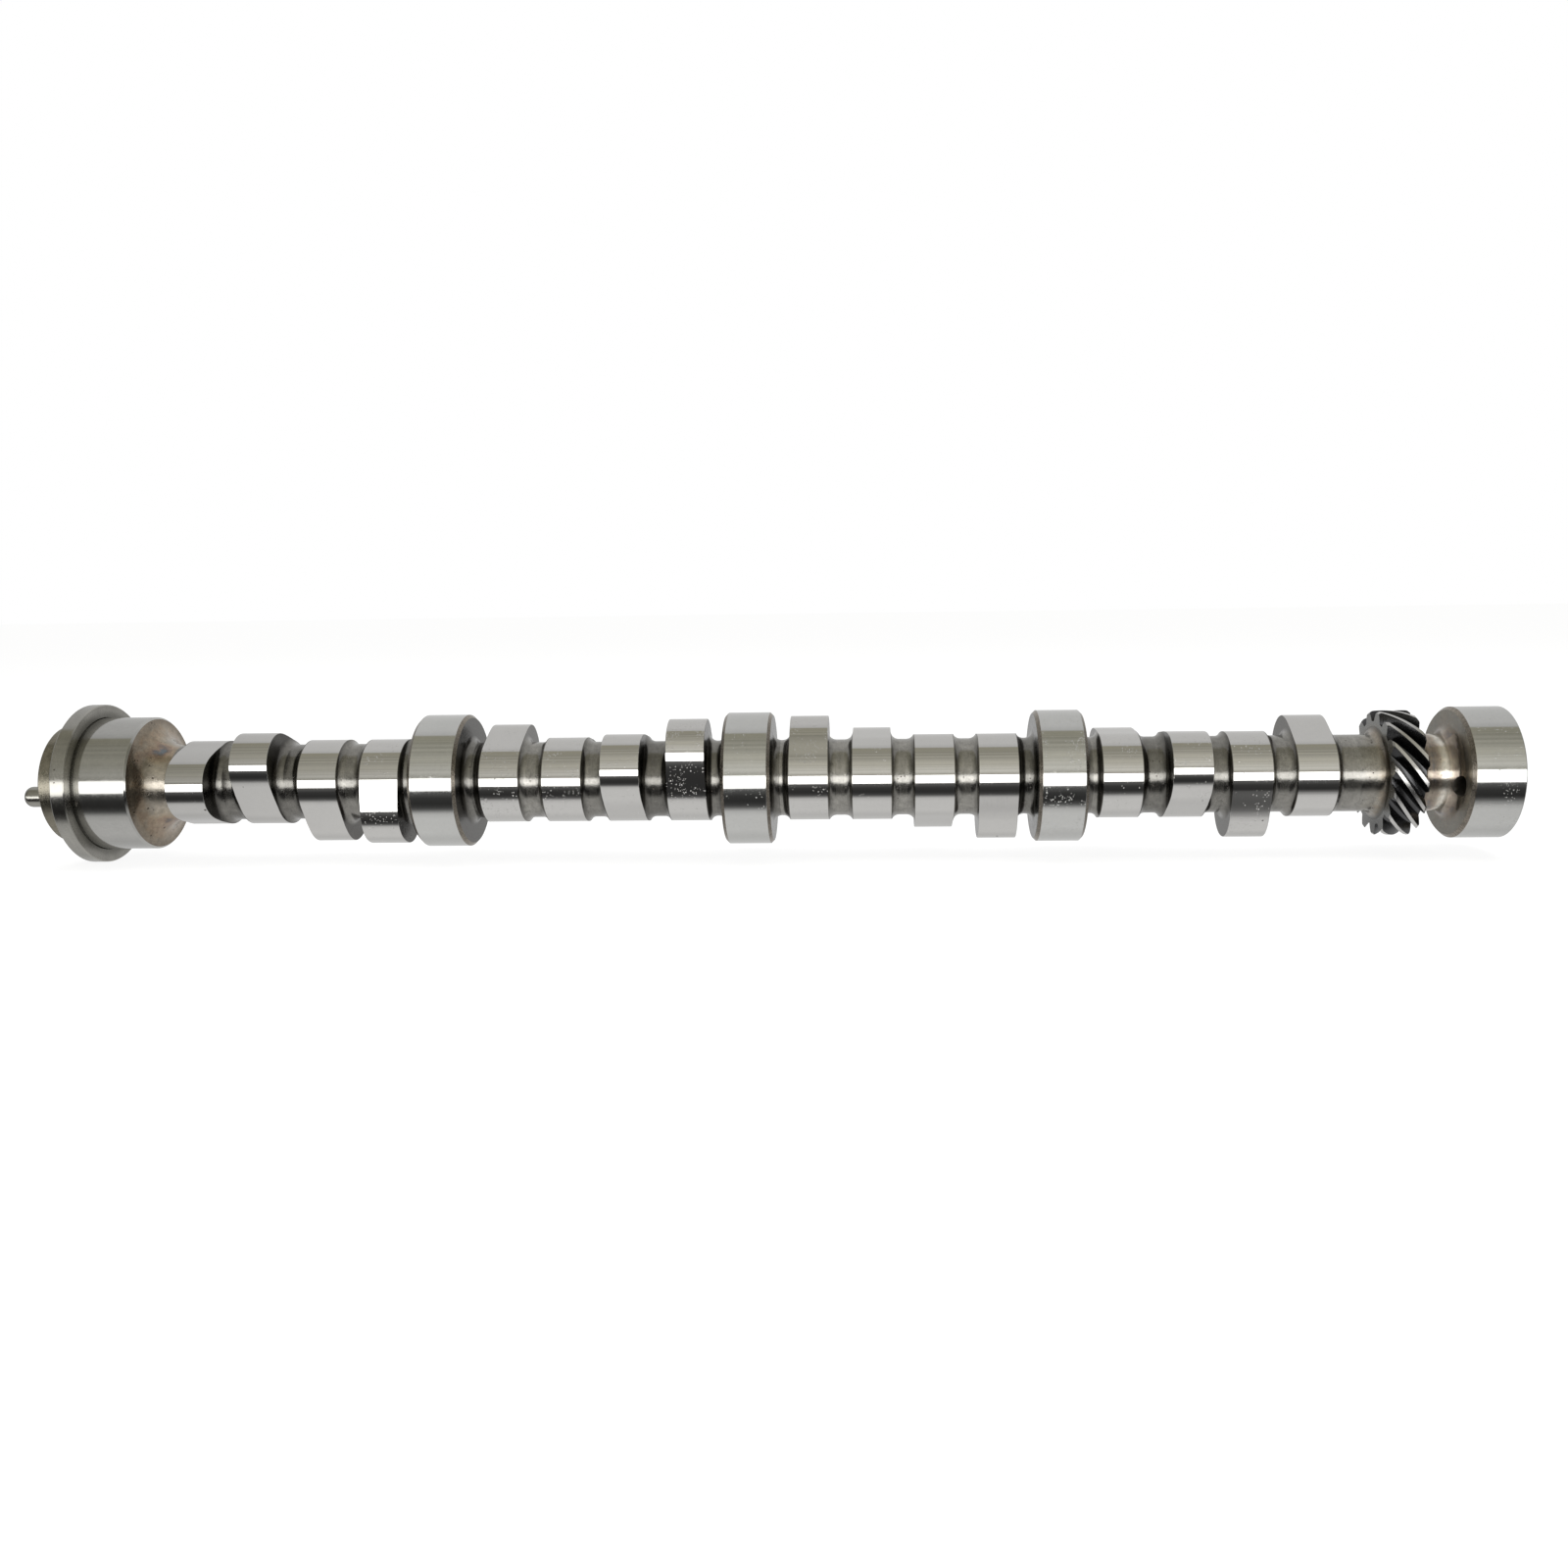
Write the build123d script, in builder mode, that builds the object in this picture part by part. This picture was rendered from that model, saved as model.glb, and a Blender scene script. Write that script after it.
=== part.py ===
"""Billet roller camshaft for a V8 engine, with its sprocket dowel pin.

Row frame, millimetres: +X runs along the shaft towards its rear end, +Z is up, and the origin is on the
axis at the middle of the front journal. An angle round the shaft is measured from -Y towards +Z.
"""
import os
from math import acos, atan, cos, pi, radians, sin, sqrt, tan

from build123d import *

INCH = 25.4

# Journals: the front one is the widest, and each is one step smaller than the one before it
FRONT_JOURNAL_DIAMETER = 2.0357 * INCH
JOURNAL_STEP = 0.020 * INCH
BEARING_PITCH = 4.625 * INCH
FRONT_JOURNAL_WIDTH = 20.5
MIDDLE_JOURNAL_WIDTH = 18.2
REAR_JOURNAL_WIDTH = 19.2
FRONT_SPAN = 126.3
REAR_SPAN = 156.3
JOURNAL_CHAMFER = 1.2
GROUND_EDGE = 0.4
FRONT_GROUND_EDGE = 0.2
FRONT_DISH_CHAMFER = 0.7

# Necks between the journals and lobes
NECK_RADIUS = 14.6
NECK_FILLET = 3.0
GEAR_FILLET = 2.0
NECK_MIN_LAND = 0.5
FRONT_DISH_FILLET = 10.5
REAR_DISH_FILLET = 4.0

# Thrust flange and the boss that the sprocket bolts to
FLANGE_RADIUS = 31.0
FLANGE_WIDTH = 5.5
FLANGE_EDGE = 0.4
BOSS_RADIUS = 22.8
BOSS_LENGTH = 9.7
BOSS_EDGE = 0.5
RELIEF_WIDTH = 0.4
RELIEF_DEPTH = 0.5
RELIEF_FACE_CUT = 0.2
RELIEF_FACE_RISE = 0.3

# Roller lobes
BASE_CIRCLE_RADIUS = 16.3
ROLLER_RADIUS = 10.2
INTAKE_LIFT = 7.82
EXHAUST_LIFT = 8.09
INTAKE_HALF_DURATION = 74.2
EXHAUST_HALF_DURATION = 78.6
RAMP_POWER = 2.33
CREST_POWER = 2.46
LOBE_WIDTH = 14.6
LOBE_PITCH_INNER = 23.6
LOBE_PITCH_OUTER = 23.95
LOBE_BLANK_RADIUS = 24.6
RIM_STEPS = 18

# Timing of the lobes
FIRING_ORDER = (1, 8, 4, 3, 6, 5, 7, 2)
FIRING_STEP = 360 / 8
LIFTER_BANK_ANGLE = 84.2
LOBE_SEPARATION = 109.5

# Helical gear that drives the distributor
GEAR_TEETH = 15
GEAR_NORMAL_MODULE = 1.807
GEAR_HELIX_ANGLE = 51.6
GEAR_PRESSURE_ANGLE = 20.0
GEAR_WIDTH = 12.5
GEAR_TO_REAR_FACE = 33.8
GEAR_PHASE = 26.2
ROOT_CLEARANCE = 0.25
FLANK_BACKLASH = 0.25

# Drilled features
DOWEL_DIAMETER = 5 / 16 * INCH
DOWEL_PITCH_RADIUS = 0.5 * INCH
DOWEL_ANGLE = -16.2
DOWEL_LENGTH = 24.0
DOWEL_STAND_OUT = 10.7
DOWEL_NOSE = 2.6
DOWEL_SEAT_OVERSIZE = 0.2
DOWEL_SEAT_CHAMFER = 0.4
BOLT_BORE_RADIUS = 4.65
BOLT_BORE_DEPTH = 32.0
BOLT_MOUTH_CHAMFER = 1.2
DRILL_POINT_ANGLE = 59.0
OIL_HOLE_RADIUS = 0.9
OIL_HOLE_DEPTH = 5.0
OIL_HOLE_ANGLE = -9.6
PORT_WIDTH = 5.4
PORT_HEIGHT = 8.0
PORT_ANGLE = -12.0
PORT_LEAN = 45.0
PORT_SETBACK = 1.15
PORT_RADIUS = 16.6
CENTRE_BORE_DEPTH = 16.0
CENTRE_BORE_RADIUS = 4.0
CENTRE_MOUTH_RADIUS = 6.5
CENTRE_MOUTH_ANGLE = 30.0

# Places along the shaft
JOURNAL_X = (
    0.0,
    FRONT_SPAN,
    FRONT_SPAN + BEARING_PITCH,
    FRONT_SPAN + 2 * BEARING_PITCH,
    FRONT_SPAN + 2 * BEARING_PITCH + REAR_SPAN,
)
JOURNAL_WIDTHS = (FRONT_JOURNAL_WIDTH, *3 * (MIDDLE_JOURNAL_WIDTH,), REAR_JOURNAL_WIDTH)
JOURNAL_RADII = tuple(FRONT_JOURNAL_DIAMETER / 2 - i * JOURNAL_STEP / 2 for i in range(5))
THRUST_FACE_X = -FRONT_JOURNAL_WIDTH / 2
FLANGE_FRONT_X = THRUST_FACE_X - FLANGE_WIDTH
FRONT_X = FLANGE_FRONT_X - BOSS_LENGTH
REAR_X = JOURNAL_X[4] + REAR_JOURNAL_WIDTH / 2
GEAR_REAR_X = REAR_X - GEAR_TO_REAR_FACE
GEAR_FRONT_X = GEAR_REAR_X - GEAR_WIDTH
REAR_JOURNAL_FACE_X = REAR_X - REAR_JOURNAL_WIDTH

DOWEL_SEAT_RADIUS = DOWEL_DIAMETER / 2 + DOWEL_SEAT_OVERSIZE
DOWEL_SEAT_DEPTH = DOWEL_LENGTH - DOWEL_STAND_OUT
PORT_X = REAR_JOURNAL_FACE_X - PORT_SETBACK
CENTRE_BORE_X = REAR_X - CENTRE_BORE_DEPTH
DRILL_POINT_SLOPE = tan(radians(DRILL_POINT_ANGLE))
CENTRE_MOUTH_SLOPE = tan(radians(CENTRE_MOUTH_ANGLE))

# Lift and half duration of each kind of lobe
INTAKE = (INTAKE_LIFT, INTAKE_HALF_DURATION)
EXHAUST = (EXHAUST_LIFT, EXHAUST_HALF_DURATION)

# The valves from front to rear: (is it an exhaust, cylinder)
VALVES = (
    *((exhaust, n) for pair in ((1, 2), (3, 4)) for exhaust in (False, True) for n in pair),
    *((exhaust, n) for pair in ((5, 6), (7, 8)) for exhaust in (True, False) for n in pair),
)
BAY_OFFSETS = (
    -LOBE_PITCH_INNER / 2 - LOBE_PITCH_OUTER,
    -LOBE_PITCH_INNER / 2,
    LOBE_PITCH_INNER / 2,
    LOBE_PITCH_INNER / 2 + LOBE_PITCH_OUTER,
)
LOBE_X = tuple(
    JOURNAL_X[1] + (bay - 0.5) * BEARING_PITCH + offset for bay in range(4) for offset in BAY_OFFSETS
)


def nose_angle(exhaust, cylinder):
    """Angle of a lobe's nose, in degrees, from the firing order and the lifter bank that it works."""
    angle = FIRING_STEP * FIRING_ORDER.index(cylinder)
    if cylinder % 2 == 0:
        angle += LIFTER_BANK_ANGLE
    return angle - LOBE_SEPARATION if exhaust else angle


def section(x, turn=0.0):
    """Plane across the shaft at x, whose local X axis is at the angle turn and whose Y axis leads it by 90."""
    a = radians(turn)
    return Plane(origin=(x, 0, 0), x_dir=(0, -cos(a), sin(a)), z_dir=(-1, 0, 0))


def radial(x, angle, lean=0.0):
    """Plane on the axis at x that faces outwards at the given angle, leaning towards the front by the lean.

    Its X axis runs along the shaft, and leans with it.
    """
    a, t = radians(angle), radians(lean)
    outwards = (-sin(t), -cos(t) * cos(a), cos(t) * sin(a))
    along = (cos(t), -sin(t) * cos(a), sin(t) * sin(a))
    return Plane(origin=(x, 0, 0), x_dir=along, z_dir=outwards)


def lobe_rim(lift, half_duration):
    """Points of the ground rim from one end of the base circle to the other, with the nose on local X.

    The roller's centre follows base + roller + lift, and the rim is the curve that the roller touches.
    """
    half = radians(half_duration)
    points = []
    for step in range(-RIM_STEPS, RIM_STEPS + 1):
        t = half * step / RIM_STEPS
        part = abs(step) / RIM_STEPS
        left = 1 - part**RAMP_POWER
        rise = lift * left**CREST_POWER
        slope = 0.0
        if 0 < part < 1:
            slope = -rise * CREST_POWER * RAMP_POWER * part ** (RAMP_POWER - 1) / left / half
            slope = slope if step > 0 else -slope
        reach = BASE_CIRCLE_RADIUS + ROLLER_RADIUS + rise
        along, across = slope * cos(t) - reach * sin(t), slope * sin(t) + reach * cos(t)
        size = sqrt(along**2 + across**2)
        points.append(
            (reach * cos(t) - ROLLER_RADIUS * across / size, reach * sin(t) + ROLLER_RADIUS * along / size)
        )
    return points


def involute(angle):
    """Involute function of an angle in radians."""
    return tan(angle) - angle


# Gear sizes that follow from the module, helix and pressure angle
GEAR_TILT = radians(GEAR_HELIX_ANGLE)
GEAR_PITCH_RADIUS = GEAR_TEETH * GEAR_NORMAL_MODULE / cos(GEAR_TILT) / 2
GEAR_TIP_RADIUS = GEAR_PITCH_RADIUS + GEAR_NORMAL_MODULE
GEAR_ROOT_RADIUS = GEAR_PITCH_RADIUS - (1 + ROOT_CLEARANCE) * GEAR_NORMAL_MODULE
GEAR_LEAD = 2 * pi * GEAR_PITCH_RADIUS / tan(GEAR_TILT)
TRANSVERSE_PRESSURE = atan(tan(radians(GEAR_PRESSURE_ANGLE)) / cos(GEAR_TILT))
GEAR_BASE_RADIUS = GEAR_PITCH_RADIUS * cos(TRANSVERSE_PRESSURE)


def gap_half_angle(radius):
    """Half of the angle, in radians, between two neighbouring teeth at a radius."""
    tooth = pi / 2 / GEAR_TEETH + involute(TRANSVERSE_PRESSURE) - involute(acos(GEAR_BASE_RADIUS / radius))
    return pi / GEAR_TEETH - tooth + FLANK_BACKLASH / 2 / GEAR_PITCH_RADIUS


# Discs along the shaft: (front x, width, radius, front chamfer, rear chamfer, front fillet, rear fillet)
MIDDLE_JOURNALS = [
    (x - MIDDLE_JOURNAL_WIDTH / 2, MIDDLE_JOURNAL_WIDTH, radius, *2 * (JOURNAL_CHAMFER,), *2 * (NECK_FILLET,))
    for x, radius in zip(JOURNAL_X[1:4], JOURNAL_RADII[1:4])
]
LOBE_BLANKS = [
    (x - LOBE_WIDTH / 2, LOBE_WIDTH, LOBE_BLANK_RADIUS, 0, 0, NECK_FILLET, NECK_FILLET) for x in LOBE_X
]
GEAR_BLANK = (GEAR_FRONT_X, GEAR_WIDTH, GEAR_TIP_RADIUS, 0, 0, GEAR_FILLET, GEAR_FILLET)
FRONT_DISC = (THRUST_FACE_X + RELIEF_WIDTH, FRONT_JOURNAL_WIDTH - RELIEF_WIDTH, JOURNAL_RADII[0])
REAR_DISC = (REAR_JOURNAL_FACE_X, REAR_JOURNAL_WIDTH, JOURNAL_RADII[4])
DISCS = [
    (*FRONT_DISC, FRONT_GROUND_EDGE, FRONT_DISH_CHAMFER, 0, FRONT_DISH_FILLET),
    *sorted([*MIDDLE_JOURNALS, *LOBE_BLANKS, GEAR_BLANK]),
    (*REAR_DISC, JOURNAL_CHAMFER, GROUND_EDGE, REAR_DISH_FILLET, 0),
]


def neck_shares():
    """For each neck, the share of its two fillets' full size that it has room for, at most 1."""
    for (x, width, *_, rear_fillet), (next_x, *_, front_fillet, _) in zip(DISCS, DISCS[1:]):
        yield min(1.0, (next_x - x - width) / (rear_fillet + front_fillet + NECK_MIN_LAND))


NECK_SHARES = (1.0, *neck_shares(), 1.0)


class Outline:
    """Half of a turned outline, drawn inside a BuildLine from point to point."""

    def __init__(self, start):
        self.end = start

    def step_to(self, *points):
        """Draws straight on through the given points, and leaves out any that repeats the last one."""
        for point in points:
            if abs(point[0] - self.end[0]) + abs(point[1] - self.end[1]) > 1e-6:
                Line(self.end, point)
                self.end = point

    def quarter_to(self, point, corner):
        """Draws on with a quarter of a circle that is hollow towards the given corner of its square."""
        middle = [(a + b) / 2 for a, b in zip(self.end, point)]
        ThreePointArc(self.end, tuple(m + (c - m) * (sqrt(2) - 1) for m, c in zip(middle, corner)), point)
        self.end = point


with BuildPart() as camshaft:
    # The turned blank: half of its outline, with every neck fillet and edge chamfer, revolved once
    with BuildSketch(Plane.XZ):
        with BuildLine():
            relief = JOURNAL_RADII[0] - RELIEF_DEPTH
            start = (FRONT_X + BOLT_BORE_DEPTH + BOLT_BORE_RADIUS / DRILL_POINT_SLOPE, 0)
            outline = Outline(start)
            outline.step_to(
                (FRONT_X + BOLT_BORE_DEPTH, BOLT_BORE_RADIUS), (FRONT_X + BOLT_MOUTH_CHAMFER, BOLT_BORE_RADIUS),
                (FRONT_X, BOLT_BORE_RADIUS + BOLT_MOUTH_CHAMFER), (FRONT_X, BOSS_RADIUS - BOSS_EDGE),
                (FRONT_X + BOSS_EDGE, BOSS_RADIUS), (FLANGE_FRONT_X, BOSS_RADIUS),
                (FLANGE_FRONT_X, FLANGE_RADIUS - FLANGE_EDGE), (FLANGE_FRONT_X + FLANGE_EDGE, FLANGE_RADIUS),
                (THRUST_FACE_X - FLANGE_EDGE, FLANGE_RADIUS), (THRUST_FACE_X, FLANGE_RADIUS - FLANGE_EDGE),
                (THRUST_FACE_X, JOURNAL_RADII[0] + RELIEF_FACE_RISE), (THRUST_FACE_X - RELIEF_FACE_CUT, relief),
                (THRUST_FACE_X + RELIEF_WIDTH, relief),
            )
            for disc, front_share, rear_share in zip(DISCS, NECK_SHARES, NECK_SHARES[1:]):
                x, width, radius, front_edge, rear_edge, front_fillet, rear_fillet = disc
                front_fillet, rear_fillet = front_fillet * front_share, rear_fillet * rear_share
                if front_fillet:
                    outline.step_to((x - front_fillet, NECK_RADIUS))
                    outline.quarter_to((x, NECK_RADIUS + front_fillet), (x, NECK_RADIUS))
                outline.step_to((x, radius - front_edge), (x + front_edge, radius))
                outline.step_to((x + width - rear_edge, radius), (x + width, radius - rear_edge))
                if rear_fillet:
                    outline.step_to((x + width, NECK_RADIUS + rear_fillet))
                    outline.quarter_to((x + width + rear_fillet, NECK_RADIUS), (x + width, NECK_RADIUS))
            outline.step_to(
                (REAR_X, CENTRE_MOUTH_RADIUS),
                (REAR_X - (CENTRE_MOUTH_RADIUS - CENTRE_BORE_RADIUS) / CENTRE_MOUTH_SLOPE, CENTRE_BORE_RADIUS),
                (CENTRE_BORE_X, CENTRE_BORE_RADIUS),
                (CENTRE_BORE_X - CENTRE_BORE_RADIUS / DRILL_POINT_SLOPE, 0), start,
            )
        make_face()
    revolve(axis=Axis.X)

    # Dowel pin's hole in the front face
    with BuildSketch(section(FRONT_X, DOWEL_ANGLE)):
        with Locations((DOWEL_PITCH_RADIUS, 0)):
            Circle(DOWEL_SEAT_RADIUS)
    extrude(amount=-DOWEL_SEAT_DEPTH, mode=Mode.SUBTRACT)

    # Oil hole in the corner by the thrust face
    oil_hole = radial(THRUST_FACE_X + OIL_HOLE_RADIUS, OIL_HOLE_ANGLE).offset(JOURNAL_RADII[0] - OIL_HOLE_DEPTH)
    with BuildSketch(oil_hole):
        Circle(OIL_HOLE_RADIUS)
    extrude(amount=OIL_HOLE_DEPTH + 1, mode=Mode.SUBTRACT)

    # Leaning oval port that runs from the rear dish down into the rear drilling
    port = radial(PORT_X + PORT_RADIUS * tan(radians(PORT_LEAN)), PORT_ANGLE, PORT_LEAN)
    port_length = PORT_RADIUS / cos(radians(PORT_LEAN))
    with BuildSketch(port.offset(CENTRE_BORE_RADIUS)):
        SlotOverall(PORT_HEIGHT, PORT_WIDTH, rotation=90)
    extrude(amount=port_length, mode=Mode.SUBTRACT)

    # Sixteen lobes: what stands outside each ground rim is cut from its disc and from the fillets at its sides
    for x, (exhaust, cylinder) in zip(LOBE_X, VALVES):
        rim = lobe_rim(*EXHAUST) if exhaust else lobe_rim(*INTAKE)
        with BuildSketch(section(x, nose_angle(exhaust, cylinder))):
            Circle(LOBE_BLANK_RADIUS + 1)
            with BuildSketch(mode=Mode.SUBTRACT):
                with BuildLine():
                    Spline(*rim)
                    ThreePointArc(rim[-1], (-BASE_CIRCLE_RADIUS, 0), rim[0])
                make_face()
        place = next(i for i, disc in enumerate(DISCS) if abs(disc[0] + LOBE_WIDTH / 2 - x) < 1e-6)
        fillet_room = NECK_FILLET * min(NECK_SHARES[place : place + 2])
        extrude(amount=LOBE_WIDTH / 2 + fillet_room, both=True, mode=Mode.SUBTRACT)

    # Helical gear: one involute gap, twisted along its lead, then repeated round the blank
    gap_radii = [GEAR_ROOT_RADIUS + (GEAR_TIP_RADIUS + 1 - GEAR_ROOT_RADIUS) * i / 5 for i in range(6)]
    flank = [(r * cos(gap_half_angle(r)), r * sin(gap_half_angle(r))) for r in gap_radii]
    other = [(a, -b) for a, b in flank]
    with BuildSketch(section(GEAR_REAR_X + 1, GEAR_PHASE)) as gap:
        with BuildLine():
            Spline(*flank)
            Spline(*other)
            ThreePointArc(flank[0], (GEAR_ROOT_RADIUS, 0), other[0])
            Line(flank[-1], other[-1])
        make_face()
    gap_start = (GEAR_REAR_X + 1, 0, 0)
    with BuildLine() as gear_axis:
        Line(gap_start, (GEAR_FRONT_X - 1, 0, 0))
    gear_helix = Helix(GEAR_LEAD, GEAR_WIDTH + 2, GEAR_PITCH_RADIUS, center=gap_start, direction=(-1, 0, 0))
    twisted_gap = sweep(gap.sketch, path=gear_axis.wires()[0], binormal=gear_helix, mode=Mode.PRIVATE)
    for tooth in range(GEAR_TEETH):
        add(twisted_gap.rotate(Axis.X, 360 / GEAR_TEETH * tooth), mode=Mode.SUBTRACT)

with BuildPart() as dowel_pin:
    # Ground pin with a rounded outer end, on a slightly larger seat that is pressed into the hole
    for radius, length in ((DOWEL_DIAMETER / 2, DOWEL_STAND_OUT), (DOWEL_SEAT_RADIUS, -DOWEL_SEAT_DEPTH)):
        with BuildSketch(section(FRONT_X, DOWEL_ANGLE)):
            with Locations((DOWEL_PITCH_RADIUS, 0)):
                Circle(radius)
        extrude(amount=length)
    fillet(edges().filter_by(GeomType.CIRCLE).group_by(Axis.X)[0], DOWEL_NOSE)
    chamfer(edges().filter_by(GeomType.CIRCLE).group_by(Axis.X)[-1], DOWEL_SEAT_CHAMFER)

os.makedirs("parts", exist_ok=True)
for name, part in (("camshaft", camshaft.part), ("dowel_pin", dowel_pin.part)):
    part.label = name
    export_step(part, f"parts/{name}.step")
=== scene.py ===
"""Looks of the V8 roller camshaft: its turned, ground and hobbed surfaces, its steel finishes and a studio.

Every length in the sizes below is in millimetres in the shaft's own frame: X runs along the shaft towards
its rear end, Z is up, and an angle round the shaft is measured from -Y towards +Z. Meshes are put down in
metres, with their place in their vertices.
"""

import logging
import math
from dataclasses import dataclass, field, replace
from enum import Enum

import bpy
import numpy as np
from mathutils import Matrix, Vector
from mathutils.geometry import tessellate_polygon


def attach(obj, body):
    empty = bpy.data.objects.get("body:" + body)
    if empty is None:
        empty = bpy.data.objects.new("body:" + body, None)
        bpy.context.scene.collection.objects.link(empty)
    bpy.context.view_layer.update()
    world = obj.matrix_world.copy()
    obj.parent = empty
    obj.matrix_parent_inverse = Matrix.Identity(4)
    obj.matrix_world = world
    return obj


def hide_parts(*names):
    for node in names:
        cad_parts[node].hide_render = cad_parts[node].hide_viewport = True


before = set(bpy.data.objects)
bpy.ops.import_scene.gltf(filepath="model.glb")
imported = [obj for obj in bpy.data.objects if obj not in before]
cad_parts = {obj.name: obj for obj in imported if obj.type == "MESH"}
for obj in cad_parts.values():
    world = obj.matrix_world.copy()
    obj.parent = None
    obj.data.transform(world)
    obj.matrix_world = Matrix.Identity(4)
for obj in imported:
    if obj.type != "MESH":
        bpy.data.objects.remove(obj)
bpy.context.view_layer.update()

LOG = logging.getLogger("camshaft")
MM = 0.001
INCH = 25.4
BODY = "root"
STEEL_SLOT = "ground_steel"
PIN_SLOT = "dowel_steel"


class Zone(Enum):
    """What was last done to a stretch of surface, which decides its finish."""

    GROUND_LOBE = "ground_lobe"
    GROUND_JOURNAL = "ground_journal"
    FRONT_JOURNAL = "front_journal_steel"
    TURNED = "turned_neck"
    SIDE = "turned_side"
    FACE = "turned_face"
    DISH = "tinted_dish"
    FLANGE = "turned_flange"
    BOSS = "turned_boss"
    THRUST = "thrust_face"
    CHAMFER = "turned_chamfer"
    GEAR_FACE = "gear_face"
    BORE = "drilled_bore"
    # Walls of the port and the oil hole, painted dark as their shade.
    HOLE = "oil_hole"
    GEAR_FLANK = "hobbed_flank"
    GEAR_LAND = "gear_land"
    PIN = "ground_pin"


ZONES = tuple(Zone)
ZONE_NUMBER = {zone: i for i, zone in enumerate(ZONES)}


# ----------------------------------------------------------------------------------------------- surfaces


@dataclass
class Skin:
    """A closed run of rings round the shaft, kept as whole arrays of shape (rings, points round).

    A point of the surface is (x, -r cos a, r sin a) for its place x, its radius r and its angle a. tx and tr
    are the profile's direction there, along the shaft and outwards. Each stretch between rings has a zone.
    The two arrays after the zones hold the points' attributes. The first is the amount of heat tint where it
    is above 0.
    Below 0 it makes the colour darker: each neck by its own amount, and the lower side of the gear's face as
    painted shade. The second is the amount of oil on a ground zone. On a turned zone it is a painted
    highlight: a brighter colour in a ring on the neck before the rear journal. Each of the holes is an array
    that is true at the points of one drilled hole's wall.
    """

    x: np.ndarray
    r: np.ndarray
    a: np.ndarray
    tx: np.ndarray
    tr: np.ndarray
    zones: list[Zone]
    tint_and_shade: np.ndarray
    oil_and_sheen: np.ndarray
    holes: list[np.ndarray] = field(default_factory=list)


def ring_angles(count: int) -> np.ndarray:
    """Angles of evenly spaced points round the shaft.

    Args:
        count: how many points a ring has.

    Returns:
        The angles in radians, from 0 up to one step short of a full turn.
    """
    return np.arange(count) * (2.0 * math.pi / count)


def smooth(low: float, high: float, value: np.ndarray) -> np.ndarray:
    """Smooth step: 3t squared less 2t cubed, where t runs from 0 at low to 1 at high."""
    t = np.clip((value - low) / (high - low), 0.0, 1.0)
    return t * t * (3.0 - 2.0 * t)


def bump_at(x: np.ndarray, centre: float, width: float) -> np.ndarray:
    """Bell curve exp(-(distance / width) squared) about centre."""
    return np.exp(-(((x - centre) / width) ** 2))


@dataclass
class Corner:
    """One point of a turned profile, the radius that breaks its corner, and the zone that leads up to it."""

    x: float
    r: float
    radius: float = 0.0
    zone: Zone | None = None


def direction(a: Corner, b: Corner) -> np.ndarray:
    """Unit vector from one corner to the next."""
    way = np.array([b.x - a.x, b.r - a.r])
    return way / np.linalg.norm(way)


def rotated(v: np.ndarray, w: float) -> np.ndarray:
    """A plane vector turned by w radians."""
    return np.array([v[0] * math.cos(w) - v[1] * math.sin(w), v[0] * math.sin(w) + v[1] * math.cos(w)])


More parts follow.
